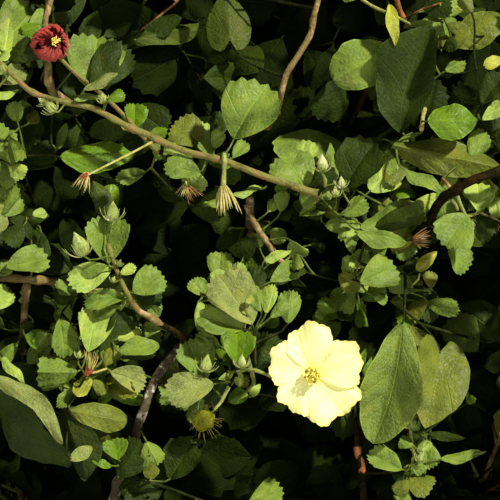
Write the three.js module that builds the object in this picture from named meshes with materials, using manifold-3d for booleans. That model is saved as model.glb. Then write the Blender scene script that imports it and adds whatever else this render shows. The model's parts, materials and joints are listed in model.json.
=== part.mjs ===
// A potted pavonia: a twiggy evergreen shrub with fan-shaped leaves and pale yellow flowers, in a plain clay pot.
// Millimetres, +Z up. The origin is the centre of the pot's flat underside, and the front of the crown faces -Y.
import * as THREE from "three";
import { mergeVertices } from "three/addons/utils/BufferGeometryUtils.js";
import Module from "manifold-3d";

const wasm = await Module();
wasm.setup();

// Driving dimensions
const POT = { height: 240, rimRadius: 150, rimDepth: 34, collar: 9, footRadius: 104, wall: 9, floor: 13, sides: 40 };
const SOIL_TOP = 212;
const GAP = 0.3;
const TRUNK = { top: 322, radius: 9.5, tipRadius: 7.2, flare: 9, flareHeight: 11, lean: [7, -5], sides: 10, steps: 9 };
const LEAF = { length: 62, width: 60, thickness: 2, widestAt: 0.68, fold: 5 };
const FLOWER = { radius: 23, notchRadius: 18, depth: 7, thickness: 2.4 };
const TWIG = { radius: 1.9, tipRadius: 1.1, sides: 3, steps: 2, leaves: 4, directions: 9, tries: 10 };
const LOWEST_LEAF = POT.height + 16;
const LIMB_CLEARANCE = 0.8;
const OUTER_TWIG = 5;
const STEM_SIDES = 4;
const STEM_STEPS = 3;
const CROSSING_VOLUME = 1.2;
const SIMPLER_WITHIN = 0.06;
const GOLDEN_ANGLE = Math.PI * (3 - Math.sqrt(5));

// The crown is fifteen masses of foliage: three rings round the stem and one on top.
// first is the azimuth of a ring's first mass, in degrees from +X. reach is how far a mass extends outwards,
// sideways and upwards from its centre, and pull is its weight where it borders on a neighbour.
const FRONT = -90;
const RINGS = [
  { name: "middle", count: 5, first: FRONT, out: 190, height: 565, reach: [112, 125, 118], jitter: 9, pull: 1 },
  { name: "lower", count: 5, first: FRONT - 36, out: 165, height: 415, reach: [105, 115, 92], jitter: 9, pull: 1 },
  { name: "upper", count: 4, first: FRONT + 36, out: 124, height: 706, reach: [105, 112, 104], jitter: 9, pull: 1 },
  { name: "top", count: 1, first: FRONT, out: 6, height: 748, reach: [96, 96, 84], jitter: 0, pull: 1.3, directions: 12 },
];
const FRONT_MASS = { reach: [125, 160, 150], jitter: 0, pull: 1.4, directions: 5 };

// The twigs of the front mass that can be told apart in the photograph. Each runs through pixels of the
// 500 x 500 picture, and near is how far in mm it lies before the picture's plane.
const PICTURE = { centre: [250, 250], scale: 0.44, plane: -225, height: 565 };
const PICTURE_TWIGS = [
  { name: "long diagonal twig", pixels: [[300, 190], [230, 163], [150, 137], [78, 104]], near: 12 },
  { name: "upper left twig", pixels: [[120, 120], [62, 62], [20, 40]], near: 2 },
  { name: "brown upright twig", pixels: [[262, 170], [282, 105], [318, 10]], near: -14 },
  { name: "lower left twig", pixels: [[190, 336], [137, 306], [112, 262]], near: 14 },
  { name: "grey woody twig", pixels: [[180, 350], [147, 410], [118, 490]], near: -6 },
  { name: "middle twig", pixels: [[250, 400], [243, 350], [240, 300]], near: 18 },
  { name: "flower twig", pixels: [[250, 390], [285, 385], [318, 376]], near: 24, flower: true },
  { name: "right twig", pixels: [[400, 262], [440, 205], [488, 174]], near: -2 },
  { name: "lower right twig", pixels: [[362, 480], [352, 420], [372, 350]], near: 4 },
];

const UP = new THREE.Vector3(0, 0, 1);
const radians = THREE.MathUtils.degToRad;
const mix = (a, b, share) => a + (b - a) * share;

// Repeatable draws from 0 to 1 (the mulberry32 generator).
function seeded(seed) {
  let state = seed >>> 0;
  return () => {
    state = (state + 0x6d2b79f5) >>> 0;
    let t = state;
    t = Math.imul(t ^ (t >>> 15), t | 1);
    t ^= t + Math.imul(t ^ (t >>> 7), t | 61);
    return ((t ^ (t >>> 14)) >>> 0) / 4294967296;
  };
}

// Joining and cutting
function toSolid(geometry) {
  const bare = geometry.clone();
  bare.deleteAttribute("normal");
  bare.deleteAttribute("uv");
  const merged = mergeVertices(bare, 1e-4);
  return new wasm.Manifold(
    new wasm.Mesh({
      numProp: 3,
      vertProperties: merged.attributes.position.array,
      triVerts: new Uint32Array(merged.index.array),
    }),
  );
}

function toGeometry(solid) {
  const mesh = solid.getMesh();
  const geometry = new THREE.BufferGeometry();
  geometry.setAttribute("position", new THREE.BufferAttribute(mesh.vertProperties, 3));
  geometry.setIndex(new THREE.BufferAttribute(mesh.triVerts, 1));
  geometry.computeVertexNormals();
  return geometry;
}

const touches = (a, b) => !a.intersect(b).isEmpty();

function largestBody(solid) {
  return solid.decompose().reduce((best, body) => (body.volume() > best.volume() ? body : best));
}

// Basic forms
function latheSolid(profile, sides) {
  const points = profile.map(([radius, height]) => new THREE.Vector2(radius, height));
  return toSolid(new THREE.LatheGeometry(points, sides).rotateX(Math.PI / 2));
}

// A limb is a cylinder bent along a curve, with radiusAt(share of its length) for its taper.
function limbSolid(curve, radiusAt, sides, steps) {
  const geometry = new THREE.CylinderGeometry(1, 1, 1, sides, steps);
  const frames = curve.computeFrenetFrames(steps, false);
  const position = geometry.attributes.position;
  for (let i = 0; i < position.count; i++) {
    const step = Math.round((position.getY(i) + 0.5) * steps);
    const share = step / steps;
    const radius = radiusAt(share);
    const point = curve
      .getPointAt(share)
      .addScaledVector(frames.normals[step], -position.getX(i) * radius)
      .addScaledVector(frames.binormals[step], position.getZ(i) * radius);
    position.setXYZ(i, point.x, point.y, point.z);
  }
  const solid = toSolid(geometry);
  if (solid.volume() < 0) throw new Error("a limb is inside out");
  return solid;
}

// A point on the straight runs that a curve is drawn with.
function runPoint(curve, steps, share) {
  const step = Math.min(Math.floor(share * steps), steps - 1);
  const from = curve.getPointAt(step / steps);
  return from.lerp(curve.getPointAt((step + 1) / steps), share * steps - step);
}

// A blade is an octahedron drawn out into a kite: its root, its tip, two corners and a little thickness.
function bladeSolid(root, along, facing, { length, width, thickness, widestAt, fold }) {
  const y = along.clone().normalize();
  const x = new THREE.Vector3().crossVectors(y, facing).normalize();
  const z = new THREE.Vector3().crossVectors(x, y);
  const geometry = new THREE.OctahedronGeometry(1, 0);
  const position = geometry.attributes.position;
  for (let i = 0; i < position.count; i++) {
    const side = Math.round(position.getX(i));
    const end = Math.round(position.getY(i));
    const face = Math.round(position.getZ(i));
    const forward = end > 0 ? length : end < 0 ? 0 : side ? length * widestAt : length / 2;
    const lift = side ? fold : (face * thickness) / 2;
    const point = root
      .clone()
      .addScaledVector(x, (side * width) / 2)
      .addScaledVector(y, forward)
      .addScaledVector(z, lift);
    position.setXYZ(i, point.x, point.y, point.z);
  }
  return toSolid(geometry);
}

// Pot and soil
const bodyTopRadius = POT.rimRadius - POT.collar;
const bodyHeight = POT.height - POT.rimDepth;
const innerRadius = (height) =>
  mix(POT.footRadius, bodyTopRadius, height / bodyHeight) - POT.wall;

function potSolid() {
  const edge = 2;
  return latheSolid(
    [
      [0, 0],
      [POT.footRadius - edge, 0],
      [POT.footRadius, edge],
      [bodyTopRadius, bodyHeight],
      [POT.rimRadius - edge, bodyHeight],
      [POT.rimRadius, bodyHeight + edge],
      [POT.rimRadius, POT.height - edge],
      [POT.rimRadius - edge, POT.height],
      [innerRadius(POT.height) + edge, POT.height],
      [innerRadius(POT.height - edge), POT.height - edge],
      [innerRadius(POT.floor), POT.floor],
      [0, POT.floor],
    ],
    POT.sides,
  );
}

function soilSolid() {
  const foot = POT.floor + GAP;
  const settled = 5;
  const flatRadius = 60;
  return latheSolid(
    [
      [0, foot],
      [innerRadius(foot) - 2 * GAP, foot],
      [innerRadius(SOIL_TOP - settled) - 2 * GAP, SOIL_TOP - settled],
      [flatRadius, SOIL_TOP],
      [0, SOIL_TOP],
    ],
    POT.sides,
  );
}

// Foliage masses: where each is, and the space that it keeps to
function layOutMasses() {
  const random = seeded(11);
  return RINGS.flatMap((ring) =>
    Array.from({ length: ring.count }, (_, i) => {
      const azimuth = radians(ring.first + (360 / ring.count) * i);
      const isFront = ring.name === "middle" && i === 0;
      const kind = { directions: TWIG.directions, ...ring, ...(isFront ? FRONT_MASS : {}) };
      const shake = () => (random() - 0.5) * 2 * kind.jitter;
      const out = new THREE.Vector3(Math.cos(azimuth), Math.sin(azimuth), 0);
      const centre = out.clone().multiplyScalar(ring.out + shake());
      centre.z = ring.height + shake();
      const side = new THREE.Vector3().crossVectors(UP, out);
      return { ...kind, name: ring.name + "_" + i, ring: ring.name, index: i, isFront, centre, out, side };
    }),
  ).map((mass, number) => ({ ...mass, seed: 100 + number }));
}

const masses = layOutMasses();
const reachPoint = (mass, direction, share) =>
  mass.centre
    .clone()
    .addScaledVector(mass.out, direction.x * mass.reach[0] * share)
    .addScaledVector(mass.side, direction.y * mass.reach[1] * share)
    .addScaledVector(UP, direction.z * mass.reach[2] * share);

// True where a point is inside a mass's own space: within its reach, on its side of the plane to each neighbour.
function isInSpace(mass, point) {
  if (point.z < LOWEST_LEAF) return false;
  const from = point.clone().sub(mass.centre);
  const share = Math.hypot(
    from.dot(mass.out) / mass.reach[0],
    from.dot(mass.side) / mass.reach[1],
    from.z / mass.reach[2],
  );
  if (share > 1.08) return false;
  return masses.every((other) => {
    if (other === mass) return true;
    const towards = other.centre.clone().sub(mass.centre);
    const border = (towards.length() * mass.pull) / (mass.pull + other.pull);
    return from.dot(towards.normalize()) < border - 0.6;
  });
}

function solidIsInSpace(mass, solid) {
  const { vertProperties, numProp } = solid.getMesh();
  const point = new THREE.Vector3();
  for (let i = 0; i < vertProperties.length; i += numProp) {
    if (!isInSpace(mass, point.fromArray(vertProperties, i))) return false;
  }
  return true;
}

// Trunk and boughs. A limb springs from a share of its parent's length and ends where it enters its mass.
const trunkCurve = new THREE.CubicBezierCurve3(
  new THREE.Vector3(0, 0, SOIL_TOP - 6),
  new THREE.Vector3(0, 0, mix(SOIL_TOP, TRUNK.top, 0.4)),
  new THREE.Vector3(TRUNK.lean[0] * 0.7, TRUNK.lean[1] * 0.7, mix(SOIL_TOP, TRUNK.top, 0.7)),
  new THREE.Vector3(TRUNK.lean[0], TRUNK.lean[1], TRUNK.top),
);

function trunkRadius(share) {
  const height = share * (TRUNK.top - SOIL_TOP);
  return mix(TRUNK.radius, TRUNK.tipRadius, share) + TRUNK.flare * Math.exp(-height / TRUNK.flareHeight);
}

const BOUGH_KINDS = {
  top: { parent: "trunk", springs: 1, radius: 6.6, tipRadius: 3.4, rise: 0.9, entry: 0.62, sides: 7, steps: 8 },
  middle: { parent: "trunk", springs: 0.46, spread: 0.08, radius: 5.6, tipRadius: 3.1, rise: 0.42, entry: 0.55, sides: 7, steps: 8 },
  upper: { parent: "top_0", springs: 0.22, spread: 0.12, radius: 4.4, tipRadius: 2.9, rise: 0.6, entry: 0.5, sides: 6, steps: 7 },
  lower: { parent: "middle", springs: 0.34, radius: 3.9, tipRadius: 2.7, rise: 0.12, entry: 0.45, sides: 6, steps: 6 },
};

const limbs = new Map();
limbs.set("trunk", {
  curve: trunkCurve,
  radiusAt: trunkRadius,
  sides: TRUNK.sides,
  steps: TRUNK.steps,
});

function boughTip(mass, entry) {
  return mass.centre
    .clone()
    .addScaledVector(mass.out, -entry * mass.reach[0])
    .addScaledVector(UP, -0.25 * mass.reach[2]);
}

function addBough(mass) {
  const kind = BOUGH_KINDS[mass.ring];
  const parentName = kind.parent === "middle" ? "middle_" + mass.index : kind.parent;
  const parent = limbs.get(parentName);
  const springs = kind.springs + (kind.spread ?? 0) * mass.index;
  const continues = mass.ring === "top";
  const start = parent.curve.getPointAt(springs);
  if (continues) start.addScaledVector(parent.curve.getTangentAt(1), GAP);
  const tip = boughTip(mass, kind.entry);
  const span = start.distanceTo(tip);
  const heading = continues
    ? parent.curve.getTangentAt(1)
    : tip.clone().sub(start).setZ(0).normalize().addScaledVector(UP, 0.75).normalize();
  const arrival = mass.centre.clone().sub(tip).normalize().addScaledVector(UP, kind.rise).normalize();
  const curve = new THREE.CubicBezierCurve3(
    start,
    start.clone().addScaledVector(heading, 0.36 * span),
    tip.clone().addScaledVector(arrival, -0.34 * span),
    tip,
  );
  const radiusAt = (share) => mix(kind.radius, kind.tipRadius, share);
  limbs.set(mass.name, {
    curve,
    radiusAt,
    sides: kind.sides,
    steps: kind.steps,
    parent: continues ? null : parentName,
  });
}

for (const ring of ["top", "middle", "upper", "lower"]) {
  masses.filter((mass) => mass.ring === ring).forEach(addBough);
}

// A limb's fatter twin cuts clearance round it into what springs from it or grows past it.
const fatterTwin = ({ curve, radiusAt, sides, steps }, extra) =>
  limbSolid(curve, (share) => radiusAt(share) + extra, sides, steps);

function limbSolids() {
  const solids = new Map();
  const earlier = [];
  for (const [name, limb] of limbs) {
    let solid = limbSolid(limb.curve, limb.radiusAt, limb.sides, limb.steps);
    for (const twin of earlier) {
      if (touches(solid, twin)) solid = largestBody(solid.subtract(twin));
    }
    earlier.push(fatterTwin(limb, GAP + 0.1));
    solids.set(name, solid);
  }
  const below = new THREE.BoxGeometry(120, 120, 40);
  below.translate(0, 0, SOIL_TOP + GAP - 20);
  solids.set("trunk", solids.get("trunk").subtract(toSolid(below)));
  return solids;
}

const limbBodies = limbSolids();
const limbGuards = [...limbs.values()].map((limb) => fatterTwin(limb, LIMB_CLEARANCE));

// Twigs by rule: even directions over a sphere, each reached from the mass's stem by a curve that rises a little.
function massStem(mass) {
  const bough = limbs.get(mass.name).curve;
  const heading = bough.getTangentAt(1);
  const start = bough.getPointAt(1).addScaledVector(heading, GAP);
  const end = reachPoint(mass, new THREE.Vector3(0.3, 0, 0.15), 1);
  const middle = start.clone().addScaledVector(heading, start.distanceTo(end) / 2);
  return new THREE.QuadraticBezierCurve3(start, middle, end);
}

function aimWithin(mass, direction, furthest) {
  let share = furthest;
  while (share > 0.3 && !isInSpace(mass, reachPoint(mass, direction, share + 0.14))) share -= 0.05;
  return reachPoint(mass, direction, share);
}

function ruleTwigs(mass, stem) {
  const random = seeded(mass.seed);
  const twigs = [];
  for (let i = 0; i < mass.directions; i++) {
    const [far, rise, sway] = [random(), random(), random()];
    const height = 1 - (2 * (i + 0.5)) / mass.directions;
    const turn = i * GOLDEN_ANGLE;
    const ring = Math.sqrt(1 - height * height);
    const direction = new THREE.Vector3(Math.cos(turn) * ring, Math.sin(turn) * ring, height);
    const crownwards = mass.ring === "top" ? -direction.z : -direction.x;
    if (crownwards > 0.5) continue;
    const aim = aimWithin(mass, direction, 0.8 + 0.16 * far);
    const root = runPoint(stem, STEM_STEPS, 0.2 + 0.75 * (0.5 + direction.x / 2));
    const span = root.distanceTo(aim);
    const bend = root
      .clone()
      .lerp(aim, 0.5)
      .addScaledVector(UP, span * (0.06 + 0.1 * rise))
      .addScaledVector(mass.side, span * 0.2 * (sway - 0.5));
    twigs.push({ number: i, steps: TWIG.steps, curve: new THREE.QuadraticBezierCurve3(root, bend, aim) });
  }
  return twigs;
}

// A pixel of the photograph as a point that lies near mm before the picture's plane.
function picturePoint([pixelX, pixelY], near) {
  return new THREE.Vector3(
    (pixelX - PICTURE.centre[0]) * PICTURE.scale,
    PICTURE.plane - near,
    PICTURE.height - (pixelY - PICTURE.centre[1]) * PICTURE.scale,
  );
}

function pictureTwigs(mass, stem) {
  return PICTURE_TWIGS.map((twig, i) => {
    const points = twig.pixels.map((pixel) => picturePoint(pixel, twig.near));
    const root = runPoint(stem, STEM_STEPS, 0.5 + 0.05 * i);
    const elbow = root.clone().lerp(points[0], 0.55).addScaledVector(UP, -6);
    return {
      number: mass.directions + i,
      curve: new THREE.CatmullRomCurve3([root, elbow, ...points]),
      steps: 4,
      flower: twig.flower,
    };
  });
}

// What a twig carries. A leaf that doesn't fit is tried again further round the twig.
function leafSolid(mass, twig, place, draws, attempt) {
  const isTip = place === TWIG.leaves - 1;
  const share = mix(0.42, 1, (place + 1) / TWIG.leaves);
  const tangent = twig.curve.getTangentAt(share);
  const across = new THREE.Vector3().crossVectors(tangent, UP).normalize();
  const round = (place + attempt) * GOLDEN_ANGLE + twig.number;
  const sideways = across.clone().multiplyScalar(Math.cos(round));
  sideways.addScaledVector(new THREE.Vector3().crossVectors(across, tangent), Math.sin(round));
  const along = tangent.clone().addScaledVector(sideways, (isTip ? 0.3 : 1.3) + 0.2 * attempt);
  const facing = mass.out
    .clone()
    .addScaledVector(UP, 0.3 + 0.9 * draws.tilt)
    .addScaledVector(mass.side, 2.4 * (draws.roll - 0.5));
  const scale = mix(0.85, 1.1, draws.size) - 0.04 * attempt;
  const shape = { ...LEAF, length: LEAF.length * scale, width: LEAF.width * scale };
  return bladeSolid(runPoint(twig.curve, twig.steps, Math.min(share, 0.98)), along, facing, shape);
}

// A flower is a ball of two cones flattened to a shallow funnel, its edge in and out by turns for five petals.
function flowerSolid(centre, facing) {
  const across = new THREE.Vector3().crossVectors(facing, UP).normalize();
  const upward = new THREE.Vector3().crossVectors(across, facing).normalize();
  const geometry = new THREE.SphereGeometry(1, 10, 2);
  const position = geometry.attributes.position;
  for (let i = 0; i < position.count; i++) {
    const end = Math.round(position.getY(i));
    const turn = Math.atan2(position.getZ(i), position.getX(i));
    const isPetal = Math.round((turn / Math.PI) * 5) % 2 === 0;
    const radius = end ? 0 : isPetal ? FLOWER.radius : FLOWER.notchRadius;
    const forward = end ? (end * FLOWER.thickness) / 2 : FLOWER.depth;
    const point = centre
      .clone()
      .addScaledVector(across, Math.cos(turn) * radius)
      .addScaledVector(upward, Math.sin(turn) * radius)
      .addScaledVector(facing, forward);
    position.setXYZ(i, point.x, point.y, point.z);
  }
  return toSolid(geometry);
}

// The flower that ends a twig: the front one looks out of the picture, and half of the other masses have one.
function blossomSolid(mass, twig) {
  const heading = twig.curve.getTangentAt(1);
  const tip = runPoint(twig.curve, twig.steps, 0.99);
  if (twig.flower) return flowerSolid(tip, new THREE.Vector3(0.12, -1, 0.1).normalize());
  if (mass.isFront || mass.seed % 2 || twig.number !== OUTER_TWIG) return null;
  const facing = mass.out.clone().addScaledVector(UP, 0.25).addScaledVector(heading, 0.8).normalize();
  return flowerSolid(tip, facing);
}

function massSolid(mass) {
  const stem = massStem(mass);
  const random = seeded(mass.seed + 1000);
  const fits = (solid) => solidIsInSpace(mass, solid) && !limbGuards.some((guard) => touches(guard, solid));
  const twigs = ruleTwigs(mass, stem);
  if (mass.isFront) twigs.unshift(...pictureTwigs(mass, stem));
  let whole = limbSolid(stem, (share) => mix(2.7, 1.9, share), STEM_SIDES, STEM_STEPS);
  const isFree = (leaf) => fits(leaf) && whole.intersect(leaf).volume() < CROSSING_VOLUME;
  for (const twig of twigs) {
    const radiusAt = (share) => mix(TWIG.radius, TWIG.tipRadius, share);
    const solid = limbSolid(twig.curve, radiusAt, TWIG.sides, twig.steps);
    if (!fits(solid)) continue;
    whole = whole.add(solid);
    const blossom = blossomSolid(mass, twig);
    if (blossom && fits(blossom)) whole = whole.add(blossom);
    for (let place = 0; place < TWIG.leaves; place++) {
      const draws = { size: random(), roll: random(), tilt: random() };
      if (blossom && place === TWIG.leaves - 1) continue;
      for (let attempt = 0; attempt < TWIG.tries; attempt++) {
        const leaf = leafSolid(mass, twig, place, draws, attempt);
        if (!isFree(leaf)) continue;
        whole = whole.add(leaf);
        break;
      }
    }
  }
  return largestBody(whole.simplify(SIMPLER_WITHIN));
}

// Materials and assembly
const material = (color, roughness) => new THREE.MeshStandardMaterial({ color, roughness, metalness: 0 });
const clay = material(0xb0694a, 0.85);
const soil = material(0x3a2c20, 0.95);
const bark = material(0x7d6a4c, 0.85);
const leafGreen = material(0x6f8f3a, 0.6);

const shrub = new THREE.Group();
function addPiece(name, solid, look) {
  const mesh = new THREE.Mesh(toGeometry(solid), look);
  mesh.name = name;
  shrub.add(mesh);
}

addPiece("pot", potSolid(), clay);
addPiece("potting_mix", soilSolid(), soil);
for (const [name, solid] of limbBodies) {
  addPiece(name === "trunk" ? "trunk" : "bough_" + name, solid, bark);
}
for (const mass of masses) {
  addPiece("foliage_" + mass.name, massSolid(mass), leafGreen);
}

export default shrub;
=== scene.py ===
# A potted pavonia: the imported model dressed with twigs, toothed leaves, blossom, buds, bark, clay and soil.
# Shapes are worked out in millimetres in the model's own frame and turned into metres when a mesh is made.
import json
import math
import bpy
import numpy as np
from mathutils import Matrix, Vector

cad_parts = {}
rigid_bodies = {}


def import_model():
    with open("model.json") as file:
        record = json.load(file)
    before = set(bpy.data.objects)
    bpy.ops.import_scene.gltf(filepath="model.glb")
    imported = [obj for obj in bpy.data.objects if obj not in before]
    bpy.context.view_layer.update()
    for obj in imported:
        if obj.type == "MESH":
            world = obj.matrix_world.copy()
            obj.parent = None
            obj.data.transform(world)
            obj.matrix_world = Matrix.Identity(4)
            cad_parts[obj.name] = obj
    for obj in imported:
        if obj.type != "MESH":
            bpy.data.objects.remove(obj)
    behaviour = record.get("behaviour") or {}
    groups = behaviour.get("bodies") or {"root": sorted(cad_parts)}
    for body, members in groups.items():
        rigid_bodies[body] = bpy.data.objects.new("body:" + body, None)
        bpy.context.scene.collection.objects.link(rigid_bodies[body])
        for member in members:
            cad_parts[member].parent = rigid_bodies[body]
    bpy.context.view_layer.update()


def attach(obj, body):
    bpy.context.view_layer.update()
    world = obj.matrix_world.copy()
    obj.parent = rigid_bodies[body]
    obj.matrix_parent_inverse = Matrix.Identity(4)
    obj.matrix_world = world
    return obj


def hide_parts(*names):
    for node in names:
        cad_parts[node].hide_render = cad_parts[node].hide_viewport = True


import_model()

MM = 0.001
UP = np.array([0.0, 0.0, 1.0])
TOWARDS_VIEWER = np.array([0.0, -1.0, 0.0])
FULL_TURN = 2 * math.pi
GOLDEN_ANGLE = math.pi * (3 - math.sqrt(5))

# The plant's rule, as the solids follow it
POT = dict(height=240, rim_radius=150, rim_depth=34, collar=9, foot_radius=104, wall=9, floor=13)
SOIL_TOP = 212
GAP = 0.3
TRUNK = dict(top=322, radius=9.5, tip_radius=7.2, flare=9, flare_height=11, lean=(7, -5))
LOWEST_LEAF = POT["height"] + 16
FRONT = -90
FURTHEST_SHARE = 1.08
HALF_BORDER = 0.6
OUTER_TWIG = 5
USUAL_MASS = dict(directions=9, jitter=9, pull=1)
RINGS = [
    dict(ring="middle", count=5, first=FRONT, out=190, height=565, reach=(112, 125, 118)),
    dict(ring="lower", count=5, first=FRONT - 36, out=165, height=415, reach=(105, 115, 92)),
    dict(ring="upper", count=4, first=FRONT + 36, out=124, height=706, reach=(105, 112, 104)),
    dict(ring="top", count=1, first=FRONT, out=6, height=748, reach=(96, 96, 84), jitter=0, pull=1.3,
         directions=12),
]
FRONT_MASS = dict(reach=(125, 160, 150), jitter=0, pull=1.4, directions=5)
BOUGH_KINDS = {
    "top": dict(parent="trunk", springs=1, spread=0, radius=6.6, tip=3.4, rise=0.9, entry=0.62),
    "middle": dict(parent="trunk", springs=0.46, spread=0.08, radius=5.6, tip=3.1, rise=0.42, entry=0.55),
    "upper": dict(parent="top_0", springs=0.22, spread=0.12, radius=4.4, tip=2.9, rise=0.6, entry=0.5),
    "lower": dict(parent="middle", springs=0.34, spread=0, radius=3.9, tip=2.7, rise=0.12, entry=0.45),
}
BLOSSOM_RADIUS = 23
BLOSSOM_MASSES = {"middle_2", "middle_4", "lower_1", "lower_3", "upper_2"}

# Finer growth than the solids have. Each kind of twig has its radius and its tip's radius in mm, and the
# sides and steps of its mesh. A petiole has its two radii and its sides.
MASS_STEM = (2.6, 1.8, 8, 12)
RULE_TWIG = (1.7, 0.9, 6, 10)
SIDE_TWIG = (0.9, 0.5, 5, 5)
BOUGH_TWIG = (1.1, 0.6, 5, 5)
FLANK_TWIG = (0.8, 0.5, 5, 5)
PETIOLE = ([0.42, 0.3], 3)
SIDE_TWIGS = 9
SIDE_TWIG_LENGTH = (30, 46)
SIDE_TWIG_LEAVES = (6, 8)
FLANK_TWIGS = 16
LEAF_LENGTH = (20, 31)

# The twigs along a bough: how many, from which share of its length, and how long
STEEP_BOUGH_TWIGS = dict(count=17, first=0.12, length=(60, 105))
BOUGH_TWIGS = dict(count=11, first=0.4, length=(42, 70))

# How far out in their mass side twigs and leaves may end, as a share of its reach. A twig that would enter
# the picture's space is cut before it, or left out where less than SHORTEST_STUB of it would stay.
TWIG_LIMIT = 1.06
LEAF_LIMIT = 1.12
SHORTEST_STUB = 0.3
CROWN_MIDDLE = np.array([0, 0, 560])
CROWN_REACH = np.array([290, 290, 260])

# The camera stands level with the middle of the crown's front. A pixel is a place on the picture's plane,
# and near is how far in mm a thing lies before that plane.
PICTURE = dict(centre=250, scale=0.44, plane=-225, height=565, distance=1300)
PIXEL = PICTURE["scale"]
HALF_PICTURE = PICTURE["centre"] * PICTURE["scale"]


def unit(vector):
    vector = np.asarray(vector, float)
    return vector / max(np.linalg.norm(vector), 1e-9)


def mix(a, b, share):
    return a + (b - a) * share


def seeded(seed):
    """Repeatable draws from 0 to 1, the same as the solids' (the mulberry32 generator)."""
    state = seed & 0xFFFFFFFF

    def draw():
        nonlocal state
        state = (state + 0x6D2B79F5) & 0xFFFFFFFF
        t = ((state ^ (state >> 15)) * (state | 1)) & 0xFFFFFFFF
        t ^= (t + (((t ^ (t >> 7)) * (t | 61)) & 0xFFFFFFFF)) & 0xFFFFFFFF
        return (t ^ (t >> 14)) / 4294967296

    return draw


def any_turn(rng):
    return rng.uniform(0, FULL_TURN)


def turns_round(count):
    return np.arange(count) * FULL_TURN / count


def frame_round(heading):
    """Two directions square to a heading and to each other."""
    across = unit(np.cross(UP + 0.013, heading))
    return across, np.cross(heading, across)


def turned(directions, turn):
    """The direction that lies at a turn between two directions square to each other."""
    return directions[0] * math.cos(turn) + directions[1] * math.sin(turn)


def picture_point(pixel_x, pixel_y, near=0.0):
    """The place that the camera sees at a pixel, as near as that before the picture's plane."""
    scale = PIXEL * (PICTURE["distance"] - near) / PICTURE["distance"]
    return np.array([
        (pixel_x - PICTURE["centre"]) * scale,
        PICTURE["plane"] - near,
        PICTURE["height"] - (pixel_y - PICTURE["centre"]) * scale,
    ])


# Curves, measured from 0 to 1 along their length
class Curve:
    def __init__(self, points):
        self.points = np.asarray(points, float)
        runs = np.linalg.norm(np.diff(self.points, axis=0), axis=1)
        measure = np.concatenate([[0.0], np.cumsum(runs)])
        self.length = measure[-1]
        self.measure = measure / self.length

    def at(self, share):
        return np.stack([np.interp(share, self.measure, self.points[:, k]) for k in range(3)], axis=-1)

    def tangent(self, share):
        return unit(self.at(min(share + 0.02, 1.0)) - self.at(max(share - 0.02, 0.0)))


def bezier(*controls, steps=48):
    layer = [np.asarray(c, float)[None, :] for c in controls]
    share = np.linspace(0, 1, steps + 1)[:, None]
    while len(layer) > 1:
        layer = [mix(a, b, share) for a, b in zip(layer, layer[1:])]
    return Curve(layer[0])


def spline(points, per_span=10):
    """A smooth curve through all its points."""
    points = np.asarray(points, float)
    padded = np.vstack([2 * points[0] - points[1], points, 2 * points[-1] - points[-2]])
    out = []
    for i in range(len(points) - 1):
        a, b, c, d = padded[i:i + 4]
        t = np.linspace(0, 1, per_span, endpoint=False)[:, None]
        square, cube = 2 * a - 5 * b + 4 * c - d, 3 * b - a - 3 * c + d
        out.append(0.5 * (2 * b + (c - a) * t + square * t**2 + cube * t**3))
    return Curve(np.vstack(out + [points[-1:]]))


def add_to_scene(thing):
    bpy.context.scene.collection.objects.link(thing)


# Meshes are gathered in batches and each batch becomes one piece
class Batch:
    def __init__(self, name, material, slot, nodes):
        self.name, self.material, self.slot, self.nodes = name, material, slot, nodes
        self.verts, self.faces, self.uvs = [], [], []
        self.count = 0

    def add(self, verts, faces, uvs=None):
        self.verts.append(verts)
        self.faces.append(np.asarray(faces) + self.count)
        self.uvs.append(np.zeros((len(verts), 2)) if uvs is None else uvs)
        self.count += len(verts)

    def build(self):
        verts, faces, uvs = (np.concatenate(part) for part in (self.verts, self.faces, self.uvs))
        mesh = bpy.data.meshes.new(self.name)
        mesh.vertices.add(len(verts))
        mesh.vertices.foreach_set("co", (verts * MM).astype(np.float32).ravel())
        mesh.loops.add(len(faces) * 3)
        mesh.loops.foreach_set("vertex_index", faces.astype(np.int32).ravel())
        mesh.polygons.add(len(faces))
        mesh.polygons.foreach_set("loop_start", np.arange(0, len(faces) * 3, 3, dtype=np.int32))
        mesh.polygons.foreach_set("use_smooth", np.ones(len(faces), bool))
        layer = mesh.uv_layers.new(name="UVMap")
        layer.data.foreach_set("uv", uvs[faces.ravel()].astype(np.float32).ravel())
        mesh.update(calc_edges=True)
        mesh.materials.append(self.material)
        piece = bpy.data.objects.new(self.name, mesh)
        add_to_scene(piece)
        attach(piece, "root")
        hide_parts(*self.nodes)


def grid_faces(rows, columns, wrap=False):
    """Triangles between neighbouring rows of a grid of points."""
    across = columns if wrap else columns - 1
    r, c = np.meshgrid(np.arange(rows - 1), np.arange(across), indexing="ij")
    a = r * columns + c
    b = r * columns + (c + 1) % columns
    corners = [a, b, b + columns, a, b + columns, a + columns]
    return np.stack(corners, axis=-1).reshape(-1, 3)


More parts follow.
